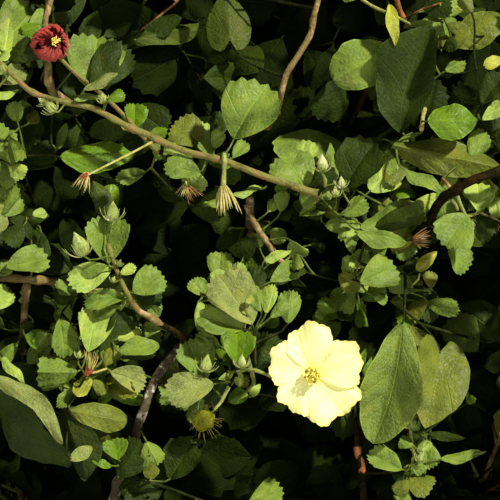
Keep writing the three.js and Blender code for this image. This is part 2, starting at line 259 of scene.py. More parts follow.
def tube(points, radii, sides):
    """A round limb along points, with blunt ends. radii is one number a point, or one a point and side."""
    points = np.asarray(points, float)
    radii = np.asarray(radii, float)
    if radii.ndim == 1:
        radii = np.repeat(radii[:, None], sides, axis=1)
    tangents = np.gradient(points, axis=0)
    tangents /= np.maximum(np.linalg.norm(tangents, axis=1, keepdims=True), 1e-9)
    normal = unit(np.cross(tangents[0], UP if abs(tangents[0][2]) < 0.9 else TOWARDS_VIEWER))
    rings = []
    cosines, sines = np.cos(turns_round(sides))[:, None], np.sin(turns_round(sides))[:, None]
    for point, tangent, radius in zip(points, tangents, radii):
        normal = unit(normal - tangent * np.dot(normal, tangent))
        binormal = np.cross(tangent, normal)
        rings.append(point + radius[:, None] * (cosines * normal + sines * binormal))
    start = points[0] - tangents[0] * radii[0].mean() * 0.3
    end = points[-1] + tangents[-1] * radii[-1].mean() * 0.6
    verts = np.vstack(rings + [start[None], end[None]])
    faces = [grid_faces(len(points), sides, wrap=True)]
    first, last, k = len(verts) - 2, len(verts) - 1, np.arange(sides)
    faces.append(np.stack([np.full(sides, first), (k + 1) % sides, k], axis=1))
    base = (len(points) - 1) * sides
    faces.append(np.stack([np.full(sides, last), base + k, base + (k + 1) % sides], axis=1))
    around = np.tile(np.arange(sides) / sides, len(points))
    along = np.repeat(np.linspace(0, 1, len(points)), sides)
    uvs = np.vstack([np.stack([around, along], axis=1), [[0, 0], [0, 1]]])
    return verts, np.vstack(faces), uvs


def limb(batch, curve, radius, tip_radius, sides, steps):
    share = np.linspace(0, 1, steps + 1)
    batch.add(*tube(curve.at(share), mix(radius, tip_radius, share), sides))


# Blades: unit shapes that point along +Y and face +Z. Their first texture number counts veins. Their second
# is 0 on the midrib and grows to 1 or -1 at the margin, or runs from foot to tip on hearts and petals.
# In all, a goes from -1 to 1 across the blade, r or t from 0 to 1 along it, and lift is how far it rises.
def fan_mesh(x, y, lift, u, v):
    """A blade whose rows of points spread from one point at its foot."""
    rows, columns = x.shape
    verts = np.vstack([[[0, 0, 0]], np.stack([x, y, lift], axis=-1).reshape(-1, 3)])
    k = np.arange(columns - 1)
    foot = np.stack([np.zeros_like(k), k + 2, k + 1], axis=1)
    uvs = np.vstack([[[0, 0]], np.stack([u, v], axis=-1).reshape(-1, 2)])
    return verts, np.vstack([foot, grid_faces(rows, columns) + 1]), uvs


def crumple(rng, x, y, height):
    """Shallow dents and blisters over a blade."""
    dents = 9
    lift = np.zeros_like(x)
    for _ in range(dents):
        turn, waves = any_turn(rng), rng.uniform(5, 24)
        lift += height / waves * np.sin(waves * (x * math.cos(turn) + y * math.sin(turn)) + rng.uniform(0, 6))
    return lift


def fan_form(rng, fold, curl, spread=0.62, columns=9, rows=3, teeth=4, wave=0.04, rough=0.0):
    """A fan-shaped blade with a toothed rim. Its sides fold up, its tip curls down and its face is wavy."""
    a, r = np.meshgrid(np.linspace(-1, 1, columns), np.linspace(0, 1, rows + 1)[1:] ** 0.85)
    plain = 1 - 0.2 * np.abs(a) ** 3
    saw = np.abs(((a + 1) / 2 * teeth) % 1 - 0.5) * 2
    toothed = plain - 0.07 * saw * (1 - 0.3 * np.abs(a))
    reach = mix(plain, toothed, np.clip(r * 2.5 - 1.5, 0, 1))
    turn = a * spread * (1.85 - 0.9 * r**0.6)
    x, y = r * reach * np.sin(turn), r * reach * np.cos(turn)
    veins = y * 3.2 - np.abs(x) * 2.6
    ridge = (np.abs(veins % 1 - 0.5) * 2) ** 2
    lift = fold * np.abs(x) - 0.02 * r * ridge - curl * r**2.5 + crumple(rng, x, y, rough)
    lift += wave * r**2 * np.sin(a * 5 + rng.uniform(0, 6))
    lift += wave * r * np.sin(r * 6 + a * 2 + rng.uniform(0, 6)) * 0.6
    from_midrib = np.where(np.abs(a) > 0.99, 1, np.clip(np.abs(x) * 2.6, 0, 0.9))
    return fan_mesh(x, y, lift, veins, from_midrib)


def long_form(rng, columns, rows, widest, width, blunt, swerve, curl, rough):
    """An oval or lance-shaped blade, with its greatest width at a share of its length, and a swerve."""
    a, t = np.meshgrid(np.linspace(-1, 1, columns), np.linspace(0, 1, rows + 1))
    skew = math.log(0.5) / math.log(widest)
    half = width / 2 * np.sin(math.pi * t ** skew) ** (0.75 / blunt)
    phase = rng.uniform(0, 6)
    x = a * half * (1 + 0.035 * np.sin(t * 13 + phase) + 0.02 * np.sin(t * 29 + a * 2 + phase))
    veins = t * 6 - np.abs(a) * 1.7 + 0.2 * np.sin(t * 9)
    ridge = np.abs(veins % 1 - 0.5) * 2
    lift = -0.014 * ridge * np.abs(a) - curl * t**2.2 + crumple(rng, x, t, rough)
    lift += 0.05 * np.abs(a) ** 2 * np.sin(t * 9 + rng.uniform(0, 6))
    verts = np.stack([x + swerve * np.sin(t * math.pi), t, lift], axis=-1).reshape(-1, 3)
    return verts, grid_faces(rows + 1, columns), np.stack([veins, a], axis=-1).reshape(-1, 2)


def heart_form(rng, columns, rows):
    """A heart-shaped blade whose veins spread from its foot, with two lobes behind it and a drawn-out tip."""
    widest_turn, vein_turn = 2.35, 0.52
    a, r = np.meshgrid(np.linspace(-1, 1, columns), np.linspace(0, 1, rows + 1)[1:])
    turn = a * widest_turn
    reach = np.cos(turn / 2) ** 1.5 * (1 - 0.1 * np.exp(-(turn / 0.9)**2)) + 0.1 * np.exp(-(turn / 0.2)**2)
    reach *= 1 + 0.012 * np.sin(a * 40)
    x, y = r * reach * np.sin(turn), r * reach * np.cos(turn)
    ridge = (np.abs((turn / vein_turn) % 1 - 0.5) * 2) ** 2
    lift = -0.02 * r * ridge - 0.1 * y**2 + 0.05 * r**2 * np.sin(turn * 3 + rng.uniform(0, 6))
    lift += crumple(rng, x, y, 0.05)
    return fan_mesh(x, y, lift, turn / vein_turn, r * 0.7 + 0.25)


def petal_form(rng):
    """A broad petal with a ragged rim, cupped at its foot and curled back at its tip."""
    columns, rows, spread, cup = 33, 10, 0.8, 0.42
    a, r = np.meshgrid(np.linspace(-1, 1, columns), np.linspace(0, 1, rows + 1)[1:])
    phase = rng.uniform(0, 6)
    corner = 1 - 0.34 * np.abs(a) ** 3
    rim = 0.045 * np.sin(a * 5 + phase) + 0.03 * np.sin(a * 12 + phase * 2)
    rim += 0.014 * np.sin(a * 34 + phase * 3)
    reach = mix(corner, corner + rim, r**3)
    turn = a * spread * (1.2 - 0.2 * r)
    x, y = r * reach * np.sin(turn), r * reach * np.cos(turn)
    lift = cup * r**1.4 * 0.8 - 0.2 * r**3.2 + 0.02 * a * r + 0.09 * r**2 * np.sin(a * 6 + phase)
    lift += 0.005 * np.sin(a * 19 + phase) * r + crumple(rng, x, y, 0.16) * r
    return fan_mesh(x, y, lift, a * 9, r)


def place(batch, form, base, along, facing, length, width=1.0):
    """Adds a blade with its foot at base, its tip along one direction and its face towards another."""
    verts, faces, uvs = form
    y = unit(along)
    x = unit(np.cross(y, facing))
    scaled = verts * np.array([length * width, length, length])
    batch.add(scaled @ np.stack([x, y, np.cross(x, y)]) + base, faces, uvs)


# Materials
def grey(level):
    return (level, level, level, 1)


BLACK, WHITE = grey(0), grey(1)


def srgb(*levels):
    """A colour from its levels of red, green and blue as a screen shows them, from 0 to 255."""
    shares = [level / 255 for level in levels]
    return (*(s / 12.92 if s <= 0.04045 else ((s + 0.055) / 1.055) ** 2.4 for s in shares), 1.0)


def shade_of(colour, factor):
    return (*(min(c * factor, 1.0) for c in colour[:3]), 1.0)


class Look:
    """A material with short ways to add nodes to it. A value is a number, a colour or a node's output."""

    def __init__(self, name):
        self.material = bpy.data.materials.new(name)
        self.material.use_nodes = True
        self.nodes, self.links = self.material.node_tree.nodes, self.material.node_tree.links

    def give(self, node, values):
        for key, value in values.items():
            if isinstance(value, bpy.types.NodeSocket):
                self.links.new(value, node.inputs[key])
            else:
                node.inputs[key].default_value = value
        return node

    def surface(self, values):
        self.give(self.nodes["Principled BSDF"], values)

    def coordinates(self, kind="Object"):
        return self.nodes.new("ShaderNodeTexCoord").outputs[kind]

    def noise(self, scale, detail=3.0, stretch=None):
        source = self.coordinates()
        if stretch:
            mapping = self.nodes.new("ShaderNodeMapping")
            source = self.give(mapping, {"Scale": stretch, "Vector": source}).outputs["Vector"]
        node = self.nodes.new("ShaderNodeTexNoise")
        return self.give(node, {"Scale": scale, "Detail": detail, "Vector": source}).outputs["Fac"]

    def ramp(self, factor, *stops):
        node = self.nodes.new("ShaderNodeValToRGB")
        elements = node.color_ramp.elements
        while len(elements) < len(stops):
            elements.new(0.5)
        for element, (position, colour) in zip(elements, stops):
            element.position = position
            element.color = colour
        return self.give(node, {"Fac": factor}).outputs["Color"]

    def blend(self, factor, first, second, blend_type="MIX"):
        node = self.nodes.new("ShaderNodeMix")
        node.data_type = "RGBA"
        node.blend_type = blend_type
        return self.give(node, {0: factor, 6: first, 7: second}).outputs[2]

    def math(self, operation, first, second):
        node = self.nodes.new("ShaderNodeMath")
        node.operation = operation
        return self.give(node, {0: first, 1: second}).outputs[0]

    def relief(self, height, strength, distance):
        node = self.nodes.new("ShaderNodeBump")
        self.give(node, {"Strength": strength, "Distance": distance, "Height": height})
        self.surface({"Normal": node.outputs["Normal"]})

    def blade_numbers(self):
        """A blade's first texture number, how far it is from the nearest vein, and the second number."""
        split = self.give(self.nodes.new("ShaderNodeSeparateXYZ"), {0: self.coordinates("UV")})
        return split.outputs[0], self.math("PINGPONG", split.outputs[0], 0.5), split.outputs[1]


def vein_masks(look, width):
    """A mask that is 1 on a blade's veins, and one that is 1 along its margin."""
    _, side, across = look.blade_numbers()
    middle = look.math("ABSOLUTE", across, 0)
    nearest = look.math("MINIMUM", look.math("MULTIPLY", side, 1.8), look.math("MULTIPLY", middle, 1.5))
    node = look.nodes.new("ShaderNodeMapRange")
    look.give(node, {"From Min": 0.0, "From Max": width, "To Min": 1.0, "To Max": 0.0, "Value": nearest})
    return node.outputs[0], look.math("GREATER_THAN", middle, 0.955)


def leaf_material(name, colour, dust, gloss):
    """Mottled green with pale veins, a fine net between them, dry patches and down, and a pale margin that is
    a painted highlight.
    """
    look = Look(name)
    warm = (min(colour[0] * 1.45, 1), min(colour[1] * 1.25, 1), colour[2] * 0.9, 1)
    mottled = look.ramp(look.noise(110), (0.3, shade_of(colour, 0.6)), (0.5, colour), (0.72, warm))
    cells = look.nodes.new("ShaderNodeTexVoronoi")
    cells.feature = "DISTANCE_TO_EDGE"
    net = look.give(cells, {"Scale": 460, "Vector": look.coordinates()}).outputs["Distance"]
    netted = look.blend(look.ramp(net, (0.0, grey(0.3)), (0.14, BLACK)), mottled, shade_of(colour, 1.4))
    scorch = look.ramp(look.noise(64, 5), (0.6, BLACK), (0.74, grey(min(dust * 4, 0.5))))
    dry = tuple(mix(a, b, 0.6) for a, b in zip(colour, srgb(150, 124, 62)))
    scorched = look.blend(scorch, netted, dry)
    down = look.noise(1500, 2)
    downy = look.blend(look.ramp(down, (0.45, BLACK), (0.75, grey(dust))), scorched, srgb(186, 196, 140))
    # The pale veins are the leaf's own colour. The pale margin is a painted highlight, a thin rim that
    # catches the light.
    veins, margin = vein_masks(look, 0.08)
    strength = look.math("MULTIPLY", look.math("ADD", veins, margin), 0.52)
    look.surface({"Base Color": look.blend(strength, downy, shade_of(colour, 2.0)),
                  "Roughness": 0.75 - gloss, "Specular IOR Level": gloss * 0.6})
    swells = look.math("ADD", look.math("MULTIPLY", net, 1.5), look.noise(300, 3))
    grain = look.math("ADD", swells, look.math("MULTIPLY", down, 0.3))
    look.relief(look.math("SUBTRACT", grain, veins), 0.5, 0.0007)
    return look.material


def stem_material(name, colour, second, grit=0.6):
    """Two tones in patches, with dark flecks."""
    look = Look(name)
    patches = look.noise(150, 6)
    grain = look.noise(800, 4)
    base = look.ramp(patches, (0.32, shade_of(colour, 0.5)), (0.45, colour), (0.53, colour), (0.6, second))
    flecks = look.ramp(grain, (0.3, shade_of(colour, 0.35)), (0.42, WHITE))
    look.surface({"Base Color": look.blend(grit, base, flecks, "MULTIPLY"), "Roughness": 0.7,
                  "Specular IOR Level": 0.04})
    look.relief(grain, 0.7, 0.001)
    return look.material


def petal_material(name, colour, edge, throat_and_highlight, painted_glow):
    """The last argument sets a glow in the petals' own colour: painted light that stands in for the light
    thin petals pass on, seen where a shadow falls on them.
    """
    look = Look(name)
    count, side, along = look.blade_numbers()
    # The darker edge colour, along the rim and in patches, is painted shade, where cupped petals would lie in
    # shade.
    spread = look.ramp(along, (0.1, throat_and_highlight), (0.3, colour), (0.9, colour), (1.0, edge))
    painted_shade_patches = look.ramp(look.noise(75, 3), (0.54, BLACK), (0.72, grey(0.8)))
    tinted = look.blend(painted_shade_patches, spread, edge)
    lines = look.ramp(side, (0.0, shade_of(edge, 0.96)), (0.16, WHITE))
    look.surface({"Base Color": look.blend(0.28, tinted, lines, "MULTIPLY"), "Roughness": 0.6,
                  "Sheen Weight": 0.15, "Emission Color": colour, "Emission Strength": painted_glow})
    creases = look.math("PINGPONG", look.math("MULTIPLY", count, 0.6), 0.5)
    look.relief(look.math("ADD", creases, look.math("MULTIPLY", look.noise(400, 2), 0.5)), 0.5, 0.0007)
    return look.material


def clay_material():
    look = Look("clay")
    fired = [(0.3, srgb(158, 84, 54)), (0.55, srgb(184, 105, 70)), (0.8, srgb(199, 126, 90))]
    clay = look.ramp(look.noise(9, 6), *fired)
    bloom = look.ramp(look.noise(5, 8, stretch=(1, 1, 1.6)), (0.52, BLACK), (0.75, grey(0.5)))
    look.surface({"Base Color": look.blend(bloom, clay, srgb(214, 190, 168)),
                  "Roughness": look.ramp(look.noise(40, 4), (0.3, grey(0.75)), (0.8, grey(0.95)))})
    look.relief(look.noise(420, 5), 0.35, 0.0008)
    return look.material


def soil_material():
    look = Look("soil")
    crumbs = [(0.3, srgb(26, 18, 12)), (0.55, srgb(58, 42, 28)), (0.8, srgb(98, 76, 54))]
    look.surface({"Base Color": look.ramp(look.noise(260, 6), *crumbs), "Roughness": 0.95})
    look.relief(look.noise(500, 5), 0.8, 0.002)
    return look.material


# Each tone of leaf has its colour, how downy it is and how glossy. The shade tone is painted shade, and the
# dark green tone is painted shade in part: near-black and dark leaves laid far in the crown and behind the
# front leaves, where the shade falls.
LEAF_TONES = {
    "pale": ((142, 163, 68), 0.14, 0.3),
    "mid": ((106, 128, 46), 0.1, 0.3),
    "vivid": ((92, 122, 18), 0.05, 0.35),
    "olive": ((98, 108, 30), 0.08, 0.3),
    "moss": ((64, 76, 18), 0.05, 0.25),
    "dusty": ((120, 130, 62), 0.36, 0.15),
    "speckled": ((104, 122, 42), 0.3, 0.2),
    "deep_green_and_painted_shade": ((42, 57, 8), 0.03, 0.2),
    "shade": ((25, 34, 7), 0.0, 0.03),
    "yellow": ((156, 160, 56), 0.08, 0.3),
}

# Each tone of stem has its main colour and the colour of its patches. The near-black dark tone and the dull
# stalk tone are painted shade, for leads and long stalks among shaded leaves. The grey tone's pale patches
# are partly painted highlight, sunlit spots, and partly pale peeling bark.
STEM_TONES = {
    "bark": ((112, 94, 70), (160, 142, 110)),
    "tan": ((134, 114, 68), (182, 156, 110)),
    "green": ((138, 146, 74), (168, 170, 96)),
    "petiole": ((92, 106, 44), (124, 130, 62)),
    "dark": ((22, 24, 7), (34, 34, 11)),
    "olive": ((128, 124, 64), (152, 116, 74)),
    "pink": ((150, 112, 66), (196, 160, 116)),
    "grey": ((96, 88, 64), (250, 236, 206)),
    "brown": ((76, 54, 26), (142, 104, 58)),
    "rust": ((146, 94, 52), (196, 118, 68)),
    "umber": ((32, 26, 9), (50, 38, 15)),
    "stalk": ((42, 48, 20), (62, 62, 30)),
    "capsule": ((122, 124, 28), (156, 146, 44)),
    "straw": ((186, 176, 96), (214, 202, 136)),
    "red": ((150, 66, 50), (176, 92, 70)),
    "bud": ((158, 170, 90), (204, 206, 144)),
}
leaf_looks = {tone: leaf_material("leaf_" + tone, srgb(*colour), dust, gloss)
              for tone, (colour, dust, gloss) in LEAF_TONES.items()}
stem_looks = {tone: stem_material("stem_" + tone, srgb(*colour), srgb(*patches))
              for tone, (colour, patches) in STEM_TONES.items()}
petal_look = petal_material("petals", srgb(238, 236, 160), srgb(220, 208, 94), srgb(236, 208, 62), 0.3)
anther_look = stem_material("anthers", srgb(255, 238, 112), srgb(255, 250, 168), grit=0.1)
# On the spent flower the lighter throat colour is a painted highlight near the petals' feet, and its darker
# edge colour is painted shade.
spent_look = petal_material("spent_petals", srgb(184, 56, 40), srgb(104, 22, 16), srgb(206, 110, 80), 0)


# The plant's frame: masses, limbs and stems, as the solids have them
def lay_out_masses():
    """The masses, ring by ring. The first one is the front's."""
    random = seeded(11)
    masses = []
    for ring in RINGS:
        for i in range(ring["count"]):
            azimuth = math.radians(ring["first"] + 360 / ring["count"] * i)
            kind = {**USUAL_MASS, **ring, **({} if masses else FRONT_MASS)}
            out = np.array([math.cos(azimuth), math.sin(azimuth), 0.0])
            centre = out * (ring["out"] + (random() - 0.5) * 2 * kind["jitter"])
            centre = centre + UP * (ring["height"] + (random() - 0.5) * 2 * kind["jitter"])
            masses.append({**kind, "name": f"{ring['ring']}_{i}", "index": i, "seed": 100 + len(masses),
                           "centre": centre, "out": out, "side": np.cross(UP, out)})
    return masses


masses = lay_out_masses()
front_mass = masses[0]


def reach_point(mass, direction, share):
    """The point at a share of a mass's reach. The direction counts outwards, sideways and up."""
    reach = mass["reach"]
    return (mass["centre"] + mass["out"] * direction[0] * reach[0] * share
            + mass["side"] * direction[1] * reach[1] * share + UP * direction[2] * reach[2] * share)


def reach_share(mass, point):
    """How far out in its mass a point lies: 0 at its centre and 1 at its reach."""
    away = point - mass["centre"]
    reach = mass["reach"]
    return np.sqrt((away @ mass["out"] / reach[0])**2 + (away @ mass["side"] / reach[1])**2
                   + (away[2] / reach[2])**2)


def is_in_space(mass, point):
    """True where the solids' rule lets a mass grow: above the pot, in reach and inside each border."""
    if point[2] < LOWEST_LEAF or reach_share(mass, point) > FURTHEST_SHARE:
        return False
    for other in masses:
        if other is mass:
            continue
        towards = other["centre"] - mass["centre"]
        span = np.linalg.norm(towards)
        border = span * mass["pull"] / (mass["pull"] + other["pull"])
        if np.dot(point - mass["centre"], towards / span) > border - HALF_BORDER:
            return False
    return True


def lay_out_limbs():
    limbs = {}
    lean = np.array([*TRUNK["lean"], 0.0])
    limbs["trunk"] = bezier(
        [0, 0, SOIL_TOP - 6], [0, 0, mix(SOIL_TOP, TRUNK["top"], 0.4)],
        lean * 0.7 + UP * mix(SOIL_TOP, TRUNK["top"], 0.7), lean + UP * TRUNK["top"])
    for ring in ("top", "middle", "upper", "lower"):
        for mass in masses:
            if mass["ring"] == ring:
                limbs[mass["name"]] = bough_curve(mass, limbs)
    return limbs


def bough_curve(mass, limbs):
    """A bough from its parent limb to the inner side of its mass."""
    kind = BOUGH_KINDS[mass["ring"]]
    parent = limbs[f"middle_{mass['index']}" if kind["parent"] == "middle" else kind["parent"]]
    continues = mass["ring"] == "top"
    start = parent.at(kind["springs"] + kind["spread"] * mass["index"])
    if continues:
        start = start + parent.tangent(1) * GAP
    tip = mass["centre"] - mass["out"] * kind["entry"] * mass["reach"][0] - UP * 0.25 * mass["reach"][2]
    span = np.linalg.norm(tip - start)
    level = (tip - start) * [1, 1, 0]
    heading = parent.tangent(1) if continues else unit(unit(level) + UP * 0.75)
    arrival = unit(unit(mass["centre"] - tip) + UP * kind["rise"])
    return bezier(start, start + heading * 0.36 * span, tip - arrival * 0.34 * span, tip)


def mass_stem(mass):
    """A mass's own stem, which carries on from its bough."""
    bough = limbs[mass["name"]]
    heading = bough.tangent(1)
    start = bough.at(1) + heading * GAP
    end = reach_point(mass, (0.3, 0, 0.15), 1)
    return bezier(start, start + heading * np.linalg.norm(end - start) / 2, end)


def aim_within(mass, direction, furthest):
    """The furthest point in a direction that leaves room for a leaf inside the mass."""
    share = furthest
    while share > 0.3 and not is_in_space(mass, reach_point(mass, direction, share + 0.14)):
        share -= 0.05
    return reach_point(mass, direction, share)


def rule_twigs(mass, stem):
    """The twigs that the solids' rule gives a mass, each with its number."""
    random = seeded(mass["seed"])
    for i in range(mass["directions"]):
        far, rise, sway = random(), random(), random()
        height = 1 - 2 * (i + 0.5) / mass["directions"]
        ring = math.sqrt(1 - height * height)
        direction = (math.cos(i * GOLDEN_ANGLE) * ring, math.sin(i * GOLDEN_ANGLE) * ring, height)
        if (-direction[2] if mass["ring"] == "top" else -direction[0]) > 0.5:
            continue
        goal = aim_within(mass, direction, 0.8 + 0.16 * far)
        root = stem.at(0.2 + 0.75 * (0.5 + direction[0] / 2))
        span = np.linalg.norm(goal - root)
        middle = mix(root, goal, 0.5) + UP * span * (0.06 + 0.1 * rise)
        yield i, bezier(root, middle + mass["side"] * span * 0.2 * (sway - 0.5), goal)


limbs = lay_out_limbs()
FOLIAGE_NODES = ["foliage_" + mass["name"] for mass in masses]
LIMB_NODES = ["trunk"] + ["bough_" + mass["name"] for mass in masses]


def foliage_batches(prefix, looks, slot="foliage"):
    """A batch for each look."""
    return {tone: Batch(prefix + tone, look, slot, FOLIAGE_NODES) for tone, look in looks.items()}


leaf_batches = foliage_batches("leaves_", leaf_looks)
near_leaf_batches = foliage_batches("front_leaves_", leaf_looks)
stem_batches = foliage_batches("twigs_", stem_looks, "bark")
flower_looks = {"petals": petal_look, "anthers": anther_look, "spent_flower": spent_look}
flower_batches = foliage_batches("", flower_looks)
bark_batch = Batch("trunk_and_boughs", stem_looks["bark"], "bark", LIMB_NODES)


# Bark: each limb again with ridges that run along it, and small knots
def barked(curve, radius_at, sides, steps, seed):
    """radius_at gives the limb's radius at a share of its length."""
    rng = np.random.default_rng(seed)
    share = np.linspace(0, 1, steps + 1)
    turn = turns_round(sides)
    ridges, knots = 7, max(3, steps // 8)
    relief = np.ones((steps + 1, sides))
    for _ in range(ridges):
        waves, drift, phase = rng.integers(2, 9), rng.normal(0, 3), rng.uniform(0, 6)
        relief += 0.018 * np.sin(waves * turn[None, :] + drift * share[:, None] + phase)
    for _ in range(knots):
        knot, side = rng.uniform(0.02, 0.98), any_turn(rng)
        aside = np.angle(np.exp(1j * (turn - side)))[None, :]
        along = (share[:, None] - knot) * steps
        relief += rng.uniform(0.2, 0.45) * np.exp(-(along / 1.5)**2 - (aside / 0.6)**2)
        relief += 0.14 * np.exp(-(along / 1.2)**2)
    relief += rng.normal(0, 0.02, relief.shape)
    return tube(curve.at(share), radius_at(share)[:, None] * relief, sides)


def trunk_radius(share):
    height = share * (TRUNK["top"] - SOIL_TOP)
    plain = mix(TRUNK["radius"], TRUNK["tip_radius"], share)
    return plain + TRUNK["flare"] * np.exp(-height / TRUNK["flare_height"])


def dress_limbs():
    trunk = limbs["trunk"]
    above_soil = Curve(trunk.points[trunk.points[:, 2] > SOIL_TOP - 3])
    bark = barked(above_soil, lambda share: trunk_radius(mix(0.03, 1, share)), sides=40, steps=70, seed=1)
    bark_batch.add(*bark)
    for number, mass in enumerate(masses):
        kind = BOUGH_KINDS[mass["ring"]]
        curve = limbs[mass["name"]]
        bark = barked(curve, lambda share: mix(kind["radius"], kind["tip"], share),
                      sides=20, steps=int(curve.length / 2.6), seed=20 + number)
        bark_batch.add(*bark)


# Foliage by rule: side twigs along each twig, and small leaves along and at the end of each side twig
def is_in_view(point, margin):
    return abs(point[0]) < HALF_PICTURE + margin and abs(point[2] - PICTURE["height"]) < HALF_PICTURE + margin


def in_picture(point, depth=40):
    """True in the picture's own space, which reaches from a depth behind its plane towards the viewer."""
    return is_in_view(point, 6) and point[1] < PICTURE["plane"] + depth


# The forms that the small leaves share. Each has its fold, its curl and its spread.
FAN_SHAPES = [(0.2, 0.1, 0.62), (-0.1, 0.2, 0.7), (0.35, 0.12, 0.55), (-0.28, -0.06, 0.66), (0.15, 0.25, 0.5),
              (-0.2, 0.3, 0.6)]
forms_rng = np.random.default_rng(5)
fan_forms = [fan_form(forms_rng, *shape) for shape in FAN_SHAPES]

# How often each tone is dealt to a spray. Behind the picture every spray gets a dark tone, which is painted
# shade.
BEHIND_PICTURE = {"shade": 0.8, "deep_green_and_painted_shade": 0.2}
OUTER_SPRAYS = {"mid": 0.3, "pale": 0.17, "deep_green_and_painted_shade": 0.2, "olive": 0.12, "vivid": 0.13, "dusty": 0.06,
                "yellow": 0.02}


def deal(rng, shares):
    """One of some names, each as often as its share says."""
    return rng.choice(list(shares), p=list(shares.values()))


def deal_tone(rng, point):
    """Sprays behind the picture and inner ones are dark, painted shade where the crown is shaded; outer ones
    light or mid green.
    """
    is_behind_picture = is_in_view(point, 20) and point[1] < -40
    if is_behind_picture:
        return deal(rng, BEHIND_PICTURE)
    if np.linalg.norm((point - CROWN_MIDDLE) / CROWN_REACH) < 0.6:
        return rng.choice(["shade", "deep_green_and_painted_shade"])
    return deal(rng, OUTER_SPRAYS)


def add_leaf(rng, tone, root, heading, facing, length):
    base = root + heading * length * rng.uniform(0.14, 0.26)
    stem_batches["petiole"].add(*tube([root, base], *PETIOLE))
    form = fan_forms[rng.integers(len(fan_forms))]
    place(leaf_batches[tone], form, base - heading * 0.2, heading, facing, length, rng.uniform(0.85, 1.12))


def level_frame(tangent):
    """A nearly level direction square to a tangent, and one square to both."""
    sideways = unit(np.cross(tangent, UP + 0.01))
    return sideways, np.cross(sideways, tangent)


def leafy_twig(rng, mass, curve, leaves, tone, size=1.0, depth=40):
    """Leaves by turns round a twig, with a smaller one at its tip."""
    spin = any_turn(rng)
    for k in range(leaves):
        share = mix(0.22, 1.0, (k + 0.5) / leaves)
        point, tangent = curve.at(share), curve.tangent(share)
        sideways, other = level_frame(tangent)
        turn = spin + k * GOLDEN_ANGLE
        heading = tangent * rng.uniform(0.3, 0.9) + sideways * math.cos(turn) + other * math.sin(turn)
        heading = unit(heading + UP * 0.15)
        facing = UP * rng.uniform(0.2, 1.1) + mass["out"] * rng.uniform(0.2, 1.0) + rng.normal(0, 0.45, 3)
        length = size * rng.uniform(*LEAF_LENGTH) * (0.72 if share > 0.9 else 1.0)
        tip = point + heading * length * 1.2
        is_outside = tip[2] < LOWEST_LEAF or reach_share(mass, tip) > LEAF_LIMIT
        if not (is_outside or in_picture(tip, depth) or in_picture(point, depth)):
            add_leaf(rng, tone, point, heading, facing, length)


def before_picture(curve):
    """The share of a twig that comes before it enters the picture's space."""
    inside = [share for share in np.linspace(0, 1, 25) if in_picture(curve.at(share))]
    return inside[0] if inside else 1.0


def dress_mass(mass):
    rng = np.random.default_rng(mass["seed"])
    stem = mass_stem(mass)
    limb(stem_batches["bark"], stem, *MASS_STEM)
    for number, twig in rule_twigs(mass, stem):
        kept = before_picture(twig)
        if kept < SHORTEST_STUB:
            continue
        if kept < 1:
            twig = Curve(twig.at(np.linspace(0, kept, 20)))
        limb(stem_batches["tan"], twig, *RULE_TWIG)
        for k in range(SIDE_TWIGS):
            dress_side_twig(rng, mass, twig, k, k * GOLDEN_ANGLE + number)
        leafy_twig(rng, mass, twig, leaves=6, tone=deal_tone(rng, twig.at(0.6)), size=1.1)
        if number == OUTER_TWIG and mass["name"] in BLOSSOM_MASSES:
            facing = unit(mass["out"] + UP * 0.25 + twig.tangent(1) * 0.8)
            dress_flower(twig.at(1) + facing * 4, facing, BLOSSOM_RADIUS, rng)


def dress_side_twig(rng, mass, twig, k, turn):
    """The last side twig carries on from its twig's tip, and the others stand out from it."""
    is_last = k == SIDE_TWIGS - 1
    share = mix(0.2, 1.0, k / (SIDE_TWIGS - 1))
    tangent = twig.tangent(share)
    heading = turned(level_frame(tangent), turn)
    heading = unit(heading * (0.2 if is_last else 1.0) + tangent * 0.7 + UP * 0.1)
    start = twig.at(share)
    end = start + heading * rng.uniform(*SIDE_TWIG_LENGTH)
    side_twig = bezier(start, mix(start, end, 0.5) + UP * rng.uniform(1, 6), end)
    if in_picture(end) or end[2] < LOWEST_LEAF - 8 or reach_share(mass, end) > TWIG_LIMIT:
        return
    limb(stem_batches["green" if rng.random() < 0.6 else "pink"], side_twig, *SIDE_TWIG)
    leaves = int(rng.integers(*SIDE_TWIG_LEAVES, endpoint=True))
    leafy_twig(rng, mass, side_twig, leaves, deal_tone(rng, end))
    dress_end(rng, mass, side_twig)


def dress_end(rng, mass, side_twig):
    """Now and then a bud or a dry seed head stands at the end of a side twig, if it is an outer one."""
    outer_share, bud_share, seed_head_share = 0.75, 0.15, 0.05
    draw = rng.random()
    tip, heading = side_twig.at(1), side_twig.tangent(1)
    if reach_share(mass, tip) < outer_share:
        return
    if draw < bud_share:
        dress_bud(rng, tip, heading, rng.uniform(6, 9), bracts=7, steps=3)
    elif draw <= bud_share + seed_head_share:
        dress_seed_head(rng, tip, heading, length=10, bracts=9, steps=3)


def dress_bough(mass):
    """Leafy twigs that close the crown's inside, on a bough's outer half or on nearly all of a steep one."""
    rng = np.random.default_rng(mass["seed"] + 400)
    bough = limbs[mass["name"]]
    kind = STEEP_BOUGH_TWIGS if mass["ring"] in ("top", "upper") else BOUGH_TWIGS
    for k in range(kind["count"]):
        share = mix(kind["first"], 0.98, k / (kind["count"] - 1))
        start, tangent = bough.at(share), bough.tangent(share)
        heading = turned(frame_round(tangent), k * GOLDEN_ANGLE + mass["seed"])
        heading = unit(heading + tangent * 0.5 + UP * 0.2)
        end = start + heading * rng.uniform(*kind["length"])
        if in_picture(end) or end[2] < LOWEST_LEAF + 20:
            continue
        twig = bezier(start, mix(start, end, 0.5) + UP * rng.uniform(2, 8), end)
        limb(stem_batches["bark"], twig, *BOUGH_TWIG)
        leafy_twig(rng, mass, twig, leaves=8, tone=deal_tone(rng, end), size=1.1)


def flank_place(k, half):
    """Where a twig stands along one side of the picture's frame, from its middle."""
    return mix(-half, half, (k + 0.5) / FLANK_TWIGS)


